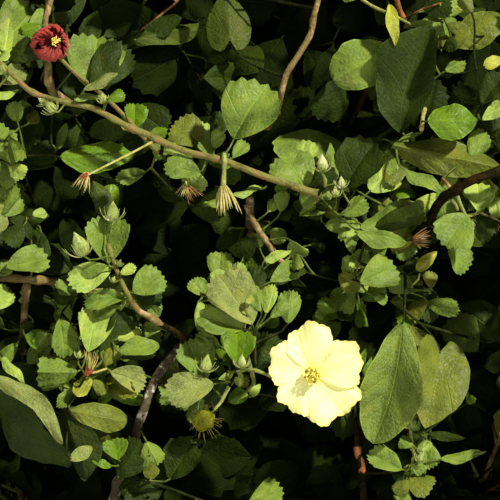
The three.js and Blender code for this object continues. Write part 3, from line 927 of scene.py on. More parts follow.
def flank_twigs(rng):
    """Where the twigs round the picture's frame start, and which way they head."""
    plane, height = PICTURE["plane"], PICTURE["height"]
    for side in (-1, 1):
        for k in range(FLANK_TWIGS):
            start = (side * rng.uniform(126, 138), plane + rng.uniform(10, 70), height + flank_place(k, 104))
            yield start, (side * rng.uniform(0, 0.3), -rng.uniform(0.4, 1), rng.uniform(-0.6, 0.8))
    for k in range(FLANK_TWIGS):
        start = (flank_place(k, 112), plane + rng.uniform(26, 96), height + rng.uniform(112, 120))
        yield start, (rng.uniform(-0.5, 0.5), rng.uniform(-0.6, 0.2), rng.uniform(0.3, 1))
    for k in range(FLANK_TWIGS):
        start = (flank_place(k, 96), plane + rng.uniform(-24, 0), height - rng.uniform(119, 130))
        yield start, (rng.uniform(-0.4, 0.4), -1, rng.uniform(-0.4, 0.1))


def dress_flanks():
    """Leafy twigs round the picture, just outside its frame."""
    rng = np.random.default_rng(61)
    for start, heading in flank_twigs(rng):
        start, heading = np.array(start), unit(heading)
        twig = bezier(start, start + heading * 16 + UP * 2, start + heading * 34)
        spring(rng, start, heading, 0.8, "tan")
        limb(stem_batches["green"], twig, *FLANK_TWIG)
        tone = rng.choice(["mid", "pale", "deep_green_and_painted_shade", "olive"])
        leafy_twig(rng, front_mass, twig, leaves=8, tone=tone, depth=120)


# Flowers, buds and seed heads
def dress_flower(centre, facing, radius, rng, petals=None):
    """petals gives each petal's angle in the flower's plane, and its length and width as shares."""
    petal_batch, anther_batch = flower_batches["petals"], flower_batches["anthers"]
    anthers, thread, anther = 40, (0.12, 0.12, 3, 1), (0.75, 0.65, 6, 2)
    directions = frame_round(facing)
    for angle, length, width in petals or [(72 * i + 20, 1.0, 1.0) for i in range(5)]:
        along = turned(directions, math.radians(angle))
        place(petal_batch, petal_form(rng), centre + along * 0.6, along, facing, radius * length, width)
    limb(anther_batch, Curve([centre, centre + facing * radius * 0.4]), radius * 0.07, radius * 0.045, 8, 4)
    for k in range(anthers):
        root = centre + facing * radius * (0.18 + 0.26 * k / anthers)
        ball = root + turned(directions, k * GOLDEN_ANGLE) * radius * rng.uniform(0.08, 0.15)
        limb(anther_batch, Curve([root, ball]), *thread)
        limb(anther_batch, Curve([ball - facing * 0.45, ball + facing * 0.45]), *anther)
    dress_bud(rng, centre - facing * radius * 0.28, facing, radius * 0.4, bracts=9)


def outward(rng, heading, count):
    """Directions square to a heading, nearly evenly spaced round it."""
    directions = frame_round(heading)
    for k in range(count):
        yield turned(directions, k * FULL_TURN / count + rng.uniform(-0.2, 0.2))


def ribbed(rows, sides, depth):
    """Five ribs round a form, as shares of its radius."""
    return 1 + depth * np.cos(5 * turns_round(sides))[None, :] * np.ones((rows, 1))


def dress_bud(rng, base, heading, length, bracts=11, steps=5):
    """A pointed bud of five sepals, with thread-like bracts round its foot."""
    batch = stem_batches["bud"]
    swell = np.array([0.4, 0.8, 1.0, 1.0, 0.92, 0.76, 0.54, 0.28, 0.05]) * length * 0.29
    points = base + heading * (np.linspace(0, 1, len(swell)) * length)[:, None]
    batch.add(*tube(points, swell[:, None] * ribbed(len(swell), 15, 0.16), 15))
    for out in outward(rng, heading, bracts):
        root = base + out * length * 0.12
        bow = root + out * length * 0.42 + heading * length * 0.1
        end = bow + out * length * rng.uniform(0.05, 0.2) + heading * length * rng.uniform(0.35, 0.6)
        limb(batch, bezier(root, bow, end), 0.28, 0.1, 3, steps)


def dress_burr(rng, centre, heading, radius):
    """A round green capsule in a loose cage of threads."""
    rows, sides, threads = 13, 20, 44
    share = np.linspace(0, 1, rows)
    girth = radius * np.sin(math.pi * mix(0.06, 0.96, share))
    relief = ribbed(rows, sides, 0.07) + rng.normal(0, 0.02, (rows, sides))
    points = centre + heading * ((share - 0.5) * 1.9 * radius)[:, None]
    stem_batches["capsule"].add(*tube(points, girth[:, None] * relief, sides))
    directions = frame_round(heading)
    for k in range(threads):
        rise = rng.uniform(-0.9, 0.9)
        out = unit(turned(directions, k * GOLDEN_ANGLE) + heading * rise)
        bow = centre + out * radius * 1.25
        end = bow + out * radius * rng.uniform(0.1, 0.45) + heading * radius * rng.uniform(0.1, 0.5)
        limb(stem_batches["olive"], bezier(centre + out * radius * 0.85, bow, end), 0.15, 0.07, 3, 3)


def dress_seed_head(rng, base, heading, length, bracts, steps, tone="straw"):
    """A spent head: dry bracts that spread like a shuttlecock round a small seed case."""
    girth = np.array([0.3, 0.8, 1.1, 1.2, 1.0, 0.6, 0.1]) * length * 0.12
    case = base + heading * (np.linspace(0, 0.5, len(girth)) * length)[:, None]
    stem_batches[tone].add(*tube(case, girth, 10))
    share = np.linspace(0, 1, steps + 1)
    width = (0.006 + 0.034 * np.sin(math.pi * mix(0.25, 1, share))) * length
    for out in outward(rng, heading, bracts):
        bow = base + out * length * rng.uniform(0.2, 0.4) + heading * length * 0.4
        end = bow + out * length * rng.uniform(-0.05, 0.25) + heading * length * rng.uniform(0.4, 0.68)
        curve = bezier(base + out * length * 0.1, bow, end)
        stem_batches[tone].add(*tube(curve.at(share), width, 4))


def dress_spent_flower(rng, centre, facing, radius):
    """A shrivelled flower: red petals that curl up from its foot over a globe, leaving its mouth open."""
    petals, outer_petals, rows, anthers = 22, 14, 13, 12
    directions = across, upward = frame_round(facing)
    for i in range(petals):
        a, t = np.meshgrid(np.linspace(-1, 1, rows), np.linspace(0, 1, rows))
        over = t * rng.uniform(2.0, 2.7) + 0.2 * t**3 * np.sin(a * 8 + i)
        half = rng.uniform(0.36, 0.5) * (0.5 + 0.5 * np.sin(t * 2.4))
        turn = i * GOLDEN_ANGLE + a * half + 0.25 * t * rng.normal()
        creases = 0.04 * np.sin(a * 9 + i) + 0.03 * np.sin(a * 17 + i * 2) - 0.09 * a**2
        creases = creases + 0.03 * np.sin(t * 9 + a * 4)
        bulge = radius * (1.0 if i < outer_petals else 0.66) * (rng.uniform(0.9, 1.06) + creases)
        out = across * np.cos(turn)[..., None] + upward * np.sin(turn)[..., None]
        verts = centre + out * (bulge * np.sin(over))[..., None]
        verts = verts - facing * (bulge * 0.8 * np.cos(over))[..., None]
        uvs = np.stack([a * 4, 0.25 + 0.7 * t], axis=-1)
        flower_batches["spent_flower"].add(verts.reshape(-1, 3), grid_faces(rows, rows), uvs.reshape(-1, 2))
    root = centre + facing * radius * 0.3
    for k in range(anthers):
        out = turned(directions, k * GOLDEN_ANGLE)
        tip = root + out * radius * rng.uniform(0.1, 0.34) + facing * radius * rng.uniform(0.4, 0.6)
        limb(flower_batches["anthers"], Curve([root, tip]), 0.2, 0.26, 5, 2)


# The crown's front as the picture shows it. Each stem has its tone, its half width in pixels where it starts
# and ends, and its points as pixels with how near each lies.
PICTURE_STEMS = [
    ("olive", 3.7, 2.3, [(318, 196, 2), (303, 190, 8), (268, 178, 12), (250, 171, 14), (225, 160, 14),
        (206, 156, 14), (180, 148, 14), (150, 136, 14), (124, 124, 14), (100, 112, 15), (72, 103, 16),
        (46, 98, 16), (30, 90, 16), (15, 77, 16), (0, 63, 16), (-18, 48, 14), (-40, 30, 4)]),
    ("olive", 2.4, 1.8, [(158, 152, 6), (124, 115, 8), (110, 102, 9), (78, 75, 10), (60, 58, 12)]),
    ("tan", 4.9, 2.9, [(64, 101, -40), (53, 94, -9), (50, 82, 0), (48, 66, 2), (47, 40, 0), (48, 15, -4),
        (51, -20, -8)]),
    ("tan", 3.5, 2.9, [(268, 130, -42), (275, 115, -30), (280, 103, -13), (284, 88, -8), (288, 73, -8),
        (297, 57, -8), (308, 39, -8), (313, 20, -9), (319, 0, -10), (326, -26, -14)]),
    ("umber", 2.7, 2.4, [(352, 120, -40), (378, 66, -34), (400, 30, -22), (404, 19, -14)]),
    ("rust", 2.4, 2.8, [(405, 20, -13), (400, 10, -10), (396, -2, -10), (392, -24, -14)]),
    ("brown", 0.8, 0.7, [(405, 18, -12), (414, 13, -10), (428, 7, -10), (452, 0, -12)]),
    ("green", 1.7, 1.4, [(338, -20, -16), (365, 2, -12), (390, 14, -8), (415, 27, -6)]),
    ("straw", 2.2, 1.9, [(421, 127, 2), (423, 118, 4), (425, 108, 4)]),
    ("tan", 3.8, 3.4, [(104, 292, -30), (60, 283, -12), (33, 280, -6), (0, 278, -6), (-24, 276, -12)]),
    ("tan", 3.2, 3.4, [(24, 352, -34), (24, 334, -18), (25, 308, -9), (27, 284, -6)]),
    ("umber", 3.3, 3.1, [(192, 341, 4), (178, 333, 8), (160, 324, 11)]),
    ("tan", 3.1, 2.9, [(162, 325, 11), (148, 316, 12.5), (139, 310, 13), (132, 302, 14)]),
    ("olive", 2.5, 1.9, [(132, 302, 14), (127, 294, 14), (122, 285, 14), (119, 275, 15), (111, 257, 14),
        (108, 244, 14)]),
    ("grey", 4.6, 4.2, [(186, 344, -8), (175, 354, -2), (155, 378, 2), (148, 400, 3), (140, 420, 3),
        (136, 437, 2), (118, 483, -2), (104, 520, -8)]),
    ("tan", 3.2, 2.6, [(292, 276, -22), (272, 250, -8), (252, 220, -4), (246, 205, -6)]),
    ("umber", 4.2, 4.8, [(400, 262, -30), (420, 231, -4), (431, 215, 6), (443, 201, 14), (453, 190, 18),
        (471, 181, 22), (491, 174, 24), (515, 168, 18), (545, 160, -8)]),
    ("pink", 1.9, 1.3, [(453, 191, 17), (447, 184, 15), (442, 179, 10)]),
    ("umber", 2.8, 3.2, [(352, 395, -34), (355, 420, -8), (358, 450, -4), (362, 478, -4), (366, 512, -8)]),
    # A short lighter stretch laid over the umber stem above it: a painted highlight where the light falls on
    # that stem.
    ("rust", 3.2, 3.3, [(357, 447, -3.8), (360, 460, -3.6), (362, 473, -3.8)]),
    ("green", 2.2, 2.0, [(252, 395, -16), (246, 350, -8), (241, 318, 8), (238, 300, 12)]),
    ("green", 2.4, 2.2, [(224, 154, 16), (224, 170, 20), (223, 186, 22)]),
    ("green", 1.6, 1.8, [(236, 374, 16), (249, 370, 18), (262, 370, 18), (275, 379, 17), (290, 386, 14),
        (308, 379, 14)]),
    ("green", 1.9, 1.5, [(228, 388, 12), (222, 400, 14), (214, 410, 16)]),
    ("straw", 1.2, 0.9, [(152, 142, 14), (120, 159, 22), (86, 176, 22)]),
    ("brown", 1.4, 1.0, [(204, -10, -36), (170, 8, -34), (135, 35, -32)]),
    ("green", 1.7, 1.5, [(449, 196, 15), (454, 203, 18), (458, 210, 18)]),
    ("green", 1.7, 1.5, [(456, 190, 17), (460, 203, 19), (466, 216, 18)]),
    ("green", 1.8, 1.4, [(409, 470, 0), (413, 448, 8), (410, 424, 12)]),
    ("green", 1.7, 1.3, [(325, 186, 6), (324, 178, 8), (322, 172, 10)]),
]

# Each leaf has its form, its tone, the pixels of its base and tip, its width in pixels, how near its base
# lies, how far it faces right and up, and its fold: above 0 a valley, below 0 a ridge. Dark tones on leaves
# that lie in shadow are painted shade.
PICTURE_LEAVES = [
    ("fan", "mid", (0, 48), (34, 2), 54, 6, (0.39, 0.39), 0.48),
    ("fan", "pale", (4, 52), (10, 12), 30, 10, (0.52, 0.26), -0.48),
    ("fan", "deep_green_and_painted_shade", (8, 62), (32, 44), 26, 10, (-0.65, -0.13), -0.16),
    ("fan", "dusty", (2, 84), (24, 66), 22, 13, (0.26, 0.13), 0.16),
    # One leaf as two blades: its lit half, and its other half in a dark tone, which is painted shade.
    ("fan", "mid", (88, 89), (98, 33), 60, 8, (0.1, 0.1), 0.5),
    ("fan", "deep_green_and_painted_shade", (92, 88), (127, 43), 42, 12, (0.1, 0.1), -0.2),
    ("oval", "dusty", (84, 90), (116, 72), 11, 22, (-0.5, 0.3), -0.3),
    ("lance", "pale", (74, 99), (104, 91), 8, 20, (0.26, 0.78), -0.32),
    ("fan", "vivid", (108, 101), (123, 90), 14, 20, (-0.13, 0.26), -0.48),
    ("fan", "vivid", (134, 130), (136, 102), 24, 6, (0.26, 0.13), 0.8),
    ("lance", "dusty", (121, 125), (141, 133), 8, 10, (0, -0.52), -0.16),
    ("fan", "vivid", (150, 136), (168, 125), 13, 10, (0.39, 0.52), -0.32),
    ("oval", "vivid", (60, 158), (134, 149), 31, 0, (0.0, 0.4), -0.4),
    ("fan", "vivid", (152, 143), (164, 158), 14, 4, (-0.13, 0.13), -0.32),
    ("fan", "mid", (146, 172), (118, 179), 16, -8, (0.39, 0.52), 0.32),
    ("fan", "mid", (-10, 154), (9, 124), 30, -2, (0.26, 0.26), 0.48),
    ("fan", "mid", (-6, 220), (12, 181), 32, -4, (-0.26, 0.26), 0.48),
    ("oval", "dusty", (-10, 238), (3, 204), 20, 2, (0.52, 0.13), 0.32),
    ("lance", "pale", (-10, 99), (18, 89), 9, 16, (0, 0.65), -0.32),
    ("oval", "deep_green_and_painted_shade", (84, 48), (97, 6), 23, -22, (0.13, 0.39), -0.32),
    ("oval", "deep_green_and_painted_shade", (104, 36), (131, 22), 13, -24, (0.26, 0.39), -0.32),
    ("oval", "moss", (134, 40), (206, 18), 24, -24, (0.26, 0.52), -0.32),
    ("heart", "moss", (230, 40), (226, -12), 46, -24, (0, 0.39), -0.24),
    ("fan", "deep_green_and_painted_shade", (8, 172), (52, 142), 36, -34, (-0.13, 0.26), 0.32),
    ("oval", "mid", (58, 150), (66, 122), 10, -18, (0.26, 0.26), -0.32),
    ("lance", "shade", (190, 62), (208, 116), 20, -40, (-0.39, 0), -0.48),
    ("lance", "deep_green_and_painted_shade", (206, 60), (226, 104), 16, -42, (-0.13, 0.26), -0.48),
    ("fan", "olive", (204, 145), (174, 122), 36, -4, (0.45, 0.45), 0.48),
    ("fan", "deep_green_and_painted_shade", (214, 146), (213, 110), 20, -8, (-0.65, 0), -0.48),
    ("fan", "pale", (214, 149), (222, 128), 15, 6, (0.39, 0.26), -0.16),
    ("lance", "mid", (222, 130), (231, 106), 9, 2, (0.39, 0.13), -0.32),
    ("fan", "mid", (234, 139), (263, 84), 60, 14, (-0.45, 0.0), 0.6),
    ("fan", "pale", (194, 157), (160, 150), 13, 6, (0.13, -0.91), -0.16),
    ("fan", "mid", (200, 173), (164, 165), 25, 13, (0.26, 0.52), 0.48),
    ("lance", "pale", (232, 196), (267, 182), 8, 10, (0, 0.91), -0.32),
    ("lance", "mid", (202, 206), (234, 191), 9, -4, (0, 0.65), -0.48),
    ("round", "mid", (311, 168), (309, 123), 74, -12, (0.13, 0.65), -0.16),
    ("fan", "pale", (305, 168), (316, 138), 27, 2, (0.39, 0.26), -0.64),
    ("fan", "mid", (306, 190), (284, 152), 44, 6, (0.45, 0.33), 0.48),
    ("fan", "deep_green_and_painted_shade", (308, 190), (322, 160), 32, 2, (-0.65, 0), -0.48),
    ("lance", "mid", (334, 184), (333, 141), 13, 4, (0.39, 0.13), -0.64),
    ("fan", "deep_green_and_painted_shade", (344, 190), (372, 140), 46, 0, (-0.59, 0.07), 0.48),
    ("fan", "mid", (299, 216), (327, 203), 18, -4, (0.26, 0.52), 0.48),
    ("fan", "mid", (344, 216), (365, 198), 20, 6, (-0.26, 0.13), -0.64),
    ("fan", "pale", (268, 212), (279, 198), 12, 0, (0.39, 0.26), -0.32),
    ("oval", "vivid", (226, 230), (262, 258), 28, -36, (0.39, 0.13), -0.32),
    ("oval", "vivid", (260, 222), (275, 232), 13, -34, (0.39, 0.26), -0.16),
    # One leaf as two blades: its lit half, and its other half in a dark tone, which is painted shade.
    ("round", "mid", (388, 46), (334, 80), 52, 6, (0.1, 0.0), -0.3),
    ("round", "deep_green_and_painted_shade", (388, 52), (368, 99), 36, -8, (-0.6, -0.1), -0.3),
    ("ovate", "deep_green_and_painted_shade", (402, 134), (428, 26), 60, 8, (-0.5, 0.0), 0.6),
    ("lance", "yellow", (389, 4), (396, 46), 14, 14, (0.26, 0.13), 0.48),
    ("round", "mid", (420, 26), (458, 18), 25, -10, (0.26, 0.52), -0.32),
    ("round", "olive", (438, 48), (468, 26), 28, -16, (-0.2, 0.1), 0.32),
    ("oval", "olive", (450, 44), (504, 12), 38, -24, (-0.26, 0.26), -0.32),
    ("fan", "mid", (445, 71), (468, 57), 14, 6, (0.26, 0.52), -0.32),
    ("oval", "vivid", (427, 121), (478, 118), 36, 16, (0.0, 0.3), -0.56),
    ("fan", "mid", (470, 156), (490, 129), 24, 6, (0.26, 0.26), -0.48),
    ("fan", "deep_green_and_painted_shade", (482, 104), (502, 73), 26, 6, (-0.52, 0.13), 0.48),
    ("fan", "pale", (482, 120), (505, 104), 17, 8, (0.26, 0.26), 0.32),
    ("oval", "yellow", (484, 67), (503, 56), 13, 4, (0.39, 0.39), -0.16),
    ("oval", "olive", (392, 145), (502, 166), 38, 5, (-0.1, 0.2), -0.48),
    ("fan", "pale", (370, 191), (400, 158), 40, 6, (0.39, 0.33), -0.32),
    ("lance", "mid", (404, 170), (448, 190), 14, 15, (0.13, 0.65), -0.32),
    ("fan", "pale", (478, 212), (480, 181), 32, 12, (0.26, 0.26), 0.64),
    ("fan", "mid", (467, 214), (444, 246), 44, 18, (0.2, 0.4), 0.3),
    ("fan", "mid", (448, 248), (471, 268), 27, 14, (0.39, 0.39), 0.48),
    ("fan", "deep_green_and_painted_shade", (470, 216), (492, 236), 26, 10, (-0.33, 0.13), -0.48),
    ("oval", "mid", (360, 230), (427, 200), 27, 12, (0.0, 0.5), -0.3),
    ("fan", "deep_green_and_painted_shade", (372, 228), (424, 214), 24, 10, (-0.39, -0.39), -0.32),
    ("oval", "mid", (356, 233), (408, 239), 19, 20, (0.13, 0.52), -0.48),
    ("fan", "mid", (360, 283), (398, 266), 36, 22, (0.33, 0.39), 0.48),
    ("fan", "pale", (349, 267), (371, 252), 19, 12, (0.39, 0.39), -0.32),
    ("fan", "mid", (352, 253), (351, 236), 12, 10, (0.26, 0.13), -0.32),
    ("lance", "yellow", (416, 271), (438, 251), 13, 4, (0.26, 0.26), -0.32),
    ("fan", "mid", (373, 296), (389, 298), 13, 14, (0.26, 0.39), -0.32),
    ("fan", "deep_green_and_painted_shade", (412, 324), (415, 283), 32, -8, (-0.39, 0.13), -0.64),
    ("oval", "mid", (331, 306), (347, 287), 16, -10, (0.26, 0.13), -0.32),
    ("fan", "vivid", (346, 321), (361, 299), 20, -12, (-0.13, 0.13), -0.48),
    ("oval", "deep_green_and_painted_shade", (504, 338), (460, 304), 40, -30, (-0.26, 0.13), -0.48),
    ("fan", "mid", (6, 268), (49, 256), 30, 6, (0.13, 0.45), 0.64),
    ("fan", "mid", (-8, 275), (11, 261), 18, 2, (0.13, 0.39), -0.32),
    ("fan", "pale", (-10, 310), (10, 288), 24, 4, (0.39, 0.26), 0.32),
    ("oval", "vivid", (98, 213), (116, 184), 24, -34, (0.26, 0.26), -0.32),
    ("fan", "mid", (108, 264), (104, 215), 44, 10, (0.2, 0.13), 0.85),
    ("fan", "mid", (108, 266), (65, 267), 14, 18, (0, 0.78), -0.48),
    ("fan", "pale", (112, 268), (69, 285), 28, 12, (0.26, 0.33), 0.48),
    ("fan", "pale", (120, 274), (136, 265), 11, 18, (0.26, 0.26), -0.32),
    ("fan", "mid", (133, 293), (162, 272), 33, 10, (-0.1, 0.2), 0.48),
    ("fan", "deep_green_and_painted_shade", (135, 296), (160, 306), 20, 0, (-0.39, -0.52), -0.32),
    ("fan", "deep_green_and_painted_shade", (79, 291), (50, 298), 22, 0, (-0.26, -0.13), -0.32),
    ("fan", "mid", (128, 296), (84, 302), 20, 10, (0.13, 0.39), 0.48),
    ("fan", "mid", (124, 306), (96, 316), 16, 8, (0.13, 0.13), -0.32),
    ("fan", "mid", (60, 318), (67, 357), 29, 6, (0.45, 0.26), 0.64),
    ("fan", "pale", (88, 352), (96, 307), 36, 12, (0.39, 0.26), 0.48),
    ("fan", "deep_green_and_painted_shade", (98, 352), (112, 308), 30, 8, (-0.65, 0), -0.48),
    ("fan", "pale", (117, 339), (143, 329), 14, 10, (0.26, 0.39), -0.32),
    ("oval", "mid", (119, 352), (160, 345), 20, 14, (0.13, 0.52), 0.64),
    ("fan", "deep_green_and_painted_shade", (120, 357), (154, 356), 16, 5, (-0.26, -0.52), -0.32),
    ("fan", "olive", (105, 366), (117, 344), 17, 12, (0.13, 0.13), -0.48),
    ("fan", "mid", (78, 372), (41, 370), 36, 12, (0.39, 0.13), -0.8),
    ("fan", "dusty", (110, 372), (147, 384), 25, 14, (0.26, 0.26), 0.48),
    ("round", "yellow", (92, 378), (76, 394), 17, 16, (0.39, 0.26), -0.48),
    ("fan", "olive", (92, 380), (108, 392), 14, 12, (0.26, 0.26), -0.32),
    ("fan", "mid", (76, 388), (58, 406), 15, 10, (0.39, 0.26), 0.48),
    ("oval", "deep_green_and_painted_shade", (-4, 356), (26, 339), 24, -18, (-0.26, 0.13), -0.32),
    ("lance", "pale", (2, 357), (27, 382), 10, 8, (0.39, 0.52), -0.48),
    ("oval", "vivid", (113, 392), (99, 406), 9, 2, (0.52, 0.13), -0.32),
    ("oval", "vivid", (110, 395), (150, 400), 16, -8, (-0.39, 0), -0.48),
    # One leaf as two blades: its lit strip, and its body below in a dark tone, which is painted shade.
    ("ribbon", "dusty", (-14, 376), (64, 442), 20, 25, (0.2, 0.4), 0.2),
    ("oval", "deep_green_and_painted_shade", (-12, 384), (62, 474), 44, 16, (-0.9, -0.8), 0.1),
    ("oval", "deep_green_and_painted_shade", (62, 404), (84, 482), 40, 14, (-0.65, -0.26), -0.48),
    ("spoon", "olive", (69, 410), (128, 421), 27, 18, (0.1, 0.2), -0.4),
    ("oval", "dusty", (70, 460), (93, 447), 14, 20, (0.26, 0.26), -0.16),
    ("fan", "vivid", (118, 460), (112, 438), 26, 10, (0.26, 0.26), 0.8),
    ("lance", "vivid", (112, 466), (92, 460), 8, 12, (0.26, 0.52), -0.32),
    ("fan", "deep_green_and_painted_shade", (118, 478), (140, 441), 36, 8, (-0.52, -0.13), -0.32),
    ("fan", "mid", (146, 441), (160, 464), 25, 14, (0.26, 0.26), -0.8),
    ("oval", "olive", (149, 480), (152, 462), 16, 14, (-0.39, 0.13), -0.32),
    ("fan", "deep_green_and_painted_shade", (170, 480), (192, 440), 38, 4, (-0.52, 0.13), 0.48),
    ("fan", "deep_green_and_painted_shade", (126, 500), (136, 474), 40, 4, (-0.39, 0.13), -0.48),
    ("round", "deep_green_and_painted_shade", (236, 498), (254, 474), 26, -30, (-0.13, 0.13), -0.32),
    ("fan", "mid", (248, 506), (285, 484), 26, 4, (0.39, 0.39), 0.48),
    ("fan", "dusty", (252, 325), (220, 270), 48, 22, (0.36, 0.3), 0.48),
    ("fan", "deep_green_and_painted_shade", (252, 302), (250, 264), 19, 16, (-0.65, 0), -0.32),
    ("fan", "mid", (207, 298), (192, 278), 19, 6, (0.26, 0.39), 0.32),
    ("fan", "mid", (244, 329), (199, 313), 32, 20, (0.26, 0.33), 0.48),
    ("fan", "vivid", (237, 364), (238, 329), 34, 26, (0.2, 0.13), 0.85),
    ("fan", "mid", (262, 312), (256, 282), 22, 22, (0.52, 0.26), -0.64),
    ("fan", "pale", (266, 314), (276, 284), 16, 24, (0.39, 0.13), -0.64),
    ("fan", "mid", (270, 318), (286, 300), 14, 20, (-0.26, 0.13), -0.48),
    ("fan", "yellow", (246, 304), (254, 296), 8, 26, (0.39, 0.26), -0.16),
    ("fan", "mid", (270, 282), (302, 263), 22, 6, (0.26, 0.39), 0.32),
    ("fan", "mid", (288, 324), (292, 289), 24, 8, (0.13, 0.13), -0.48),
    ("lance", "pale", (264, 260), (292, 249), 10, 10, (0.13, 0.78), -0.32),
    ("fan", "mid", (206, 380), (186, 340), 38, 12, (0.33, 0.26), 0.64),
    ("fan", "dusty", (214, 384), (166, 394), 34, 20, (0.26, 0.45), 0.48),
    ("fan", "mid", (221, 348), (195, 335), 15, 10, (0.26, 0.39), 0.32),
    ("fan", "deep_green_and_painted_shade", (256, 372), (266, 332), 32, 6, (-0.45, 0), -0.48),
    ("fan", "deep_green_and_painted_shade", (227, 382), (200, 404), 28, 12, (-0.39, -0.26), -0.32),
    ("oval", "vivid", (228, 402), (252, 388), 16, -12, (0.26, 0.26), -0.32),
    ("lance", "pale", (250, 397), (261, 384), 9, -6, (0.39, 0.39), -0.16),
    ("ovate", "speckled", (403, 322), (374, 445), 63, 22, (-0.1, -0.1), 0.55),
    ("heart", "olive", (440, 352), (428, 424), 60, 12, (0.45, 0.35), 0.2),
    ("oval", "olive", (410, 326), (440, 372), 24, 6, (-0.25, 0.1), 0.2),
    ("lance", "vivid", (356, 374), (368, 348), 9, 2, (0.39, 0.26), -0.32),
    ("lance", "vivid", (364, 378), (374, 356), 8, 0, (0.39, 0.26), -0.32),
    ("fan", "mid", (402, 470), (369, 451), 24, 10, (0.39, 0.33), 0.48),
    ("fan", "pale", (422, 452), (433, 440), 11, 10, (0.39, 0.39), -0.32),
    ("lance", "mid", (440, 460), (488, 450), 11, 2, (0.13, 0.52), -0.48),
    ("lance", "deep_green_and_painted_shade", (426, 434), (466, 438), 10, -4, (-0.2, 0.2), -0.48),
    ("fan", "vivid", (466, 404), (476, 396), 9, -8, (0.26, 0.39), -0.16),
    ("fan", "mid", (412, 462), (426, 470), 14, 12, (0.26, 0.39), -0.48),
    ("fan", "mid", (414, 446), (401, 438), 13, 14, (0.39, 0.26), -0.48),
    ("fan", "vivid", (410, 430), (421, 421), 12, 14, (0.26, 0.26), -0.48),
    ("fan", "olive", (408, 480), (398, 494), 18, 8, (0.26, 0.26), -0.48),
]

# Each bud has its foot and its tip in pixels and how near it lies.
PICTURE_BUDS = [
    ((55, 112), (44, 100), 20), ((46, 104), (38, 98), 18), ((84, 256), (74, 232), 24),
    ((322, 172), (322, 154), 12), ((112, 221), (113, 201), 14), ((204, 372), (208, 354), 24),
    ((241, 368), (242, 354), 30), ((342, 188), (341, 176), 10), ((336, 197), (335, 186), 10),
    ((104, 103), (101, 92), 18), ((4, 74), (1, 60), 16), ((68, 54), (71, 40), 4),
    ((118, 266), (121, 259), 16), ((112, 282), (115, 276), 18), ((78, 358), (80, 350), 16),
    ((412, 428), (408, 414), 16), ((418, 462), (424, 452), 14), ((470, 220), (474, 230), 10),
]

# Each round capsule has its middle in pixels, how near it lies and its half width in pixels.
PICTURE_BURRS = [(204, 421, 16, 11.5)]

# Each dry seed head has its foot and its tip in pixels, how near it lies and its tone.
PICTURE_SEED_HEADS = [
    ((223, 186), (227, 214), 22, "straw"), ((90, 370), (94, 352), 22, "straw"),
    ((488, 216), (497, 232), 6, "straw"), ((88, 173), (82, 181), 22, "red"),
    ((87, 173), (80, 190), 21, "straw"), ((186, 186), (196, 200), 4, "pink"),
    ((412, 240), (430, 238), 12, "pink"), ((86, 376), (91, 368), 24, "red"),
    ((186, 184), (180, 196), 6, "straw"),
]

# Each thicket of small lit leaves has its middle, half width and half height in pixels, and how many leaves.
PICTURE_THICKETS = [
    (18, 232, 26, 30, 8), (100, 325, 62, 40, 32), (90, 378, 60, 22, 18), (236, 305, 40, 44, 16),
    (206, 372, 34, 24, 9), (320, 188, 52, 30, 14), (415, 205, 64, 34, 20), (385, 268, 48, 30, 14),
    (478, 190, 24, 60, 12), (300, 240, 44, 40, 12), (20, 24, 28, 28, 14), (345, 300, 30, 26, 8),
    (410, 150, 60, 20, 8), (205, 150, 40, 18, 8), (440, 30, 50, 22, 8), (410, 455, 30, 26, 10),
    (140, 460, 50, 20, 8), (14, 140, 20, 40, 6), (412, 292, 26, 24, 7), (18, 330, 24, 40, 6),
]

THICKET_TONES = {"mid": 0.34, "pale": 0.16, "deep_green_and_painted_shade": 0.28, "vivid": 0.12, "olive": 0.1}

# Each nearly black place has its middle, half width and half height in pixels.
PICTURE_GAPS = [
    (170, 80, 28, 30), (150, 72, 26, 30), (302, 85, 24, 34), (170, 228, 34, 30), (262, 448, 62, 34),
    (462, 420, 40, 60), (318, 262, 26, 24), (172, 304, 22, 18), (345, 24, 22, 22), (462, 82, 18, 16),
    (24, 476, 34, 26), (440, 486, 60, 20), (222, 92, 22, 26), (40, 200, 22, 26), (140, 210, 18, 20),
    (196, 300, 14, 20), (480, 280, 20, 18), (280, 20, 26, 26),
]

# Layers of plainer leaves deeper in, in dark tones that are painted shade: near-black and dark leaves that
# fill the shaded ground behind the front leaves. Each has its number of leaves, how near they lie, their
# length in pixels and how often each tone is dealt.
FILLER_LAYERS = [
    dict(count=150, near=(-160, -110), reach=(90, 120), tones={"shade": 1}, over_gaps=True),
    dict(count=520, near=(-105, -50), reach=(50, 76), tones={"shade": 1}, over_gaps=True),
    dict(count=240, near=(-48, -24), reach=(30, 52), tones={"shade": 0.6, "deep_green_and_painted_shade": 0.34, "moss": 0.06},
         over_gaps=False),
]

# Each form of blade has where it is widest, its width, how blunt its ends are and how far it swerves.
BLADE_SHAPES = {
    "oval": (0.5, 0.5, 1.1, 0),
    "round": (0.55, 0.9, 1.4, 0),
    "lance": (0.42, 0.3, 0.9, 0),
    "spoon": (0.6, 0.45, 1.7, 0),
    "ovate": (0.56, 0.6, 1.25, -0.06),
    "ribbon": (0.5, 0.2, 1.5, -0.14),
}

# Each petal has its angle in the flower's plane, its length and its width.
FRONT_FLOWER = dict(
    centre=(313, 375), near=22, facing=(-0.04, -1, 0.06), radius=22.6,
    petals=((-125, 0.79, 0.98), (157, 0.86, 1.0), (95, 0.95, 1.02), (22, 0.96, 1.0), (-52, 0.96, 1.14)))
SPENT_FLOWER = dict(centre=(50, 43), near=14, facing=(0.42, -1, 0.12), radius=8.2)

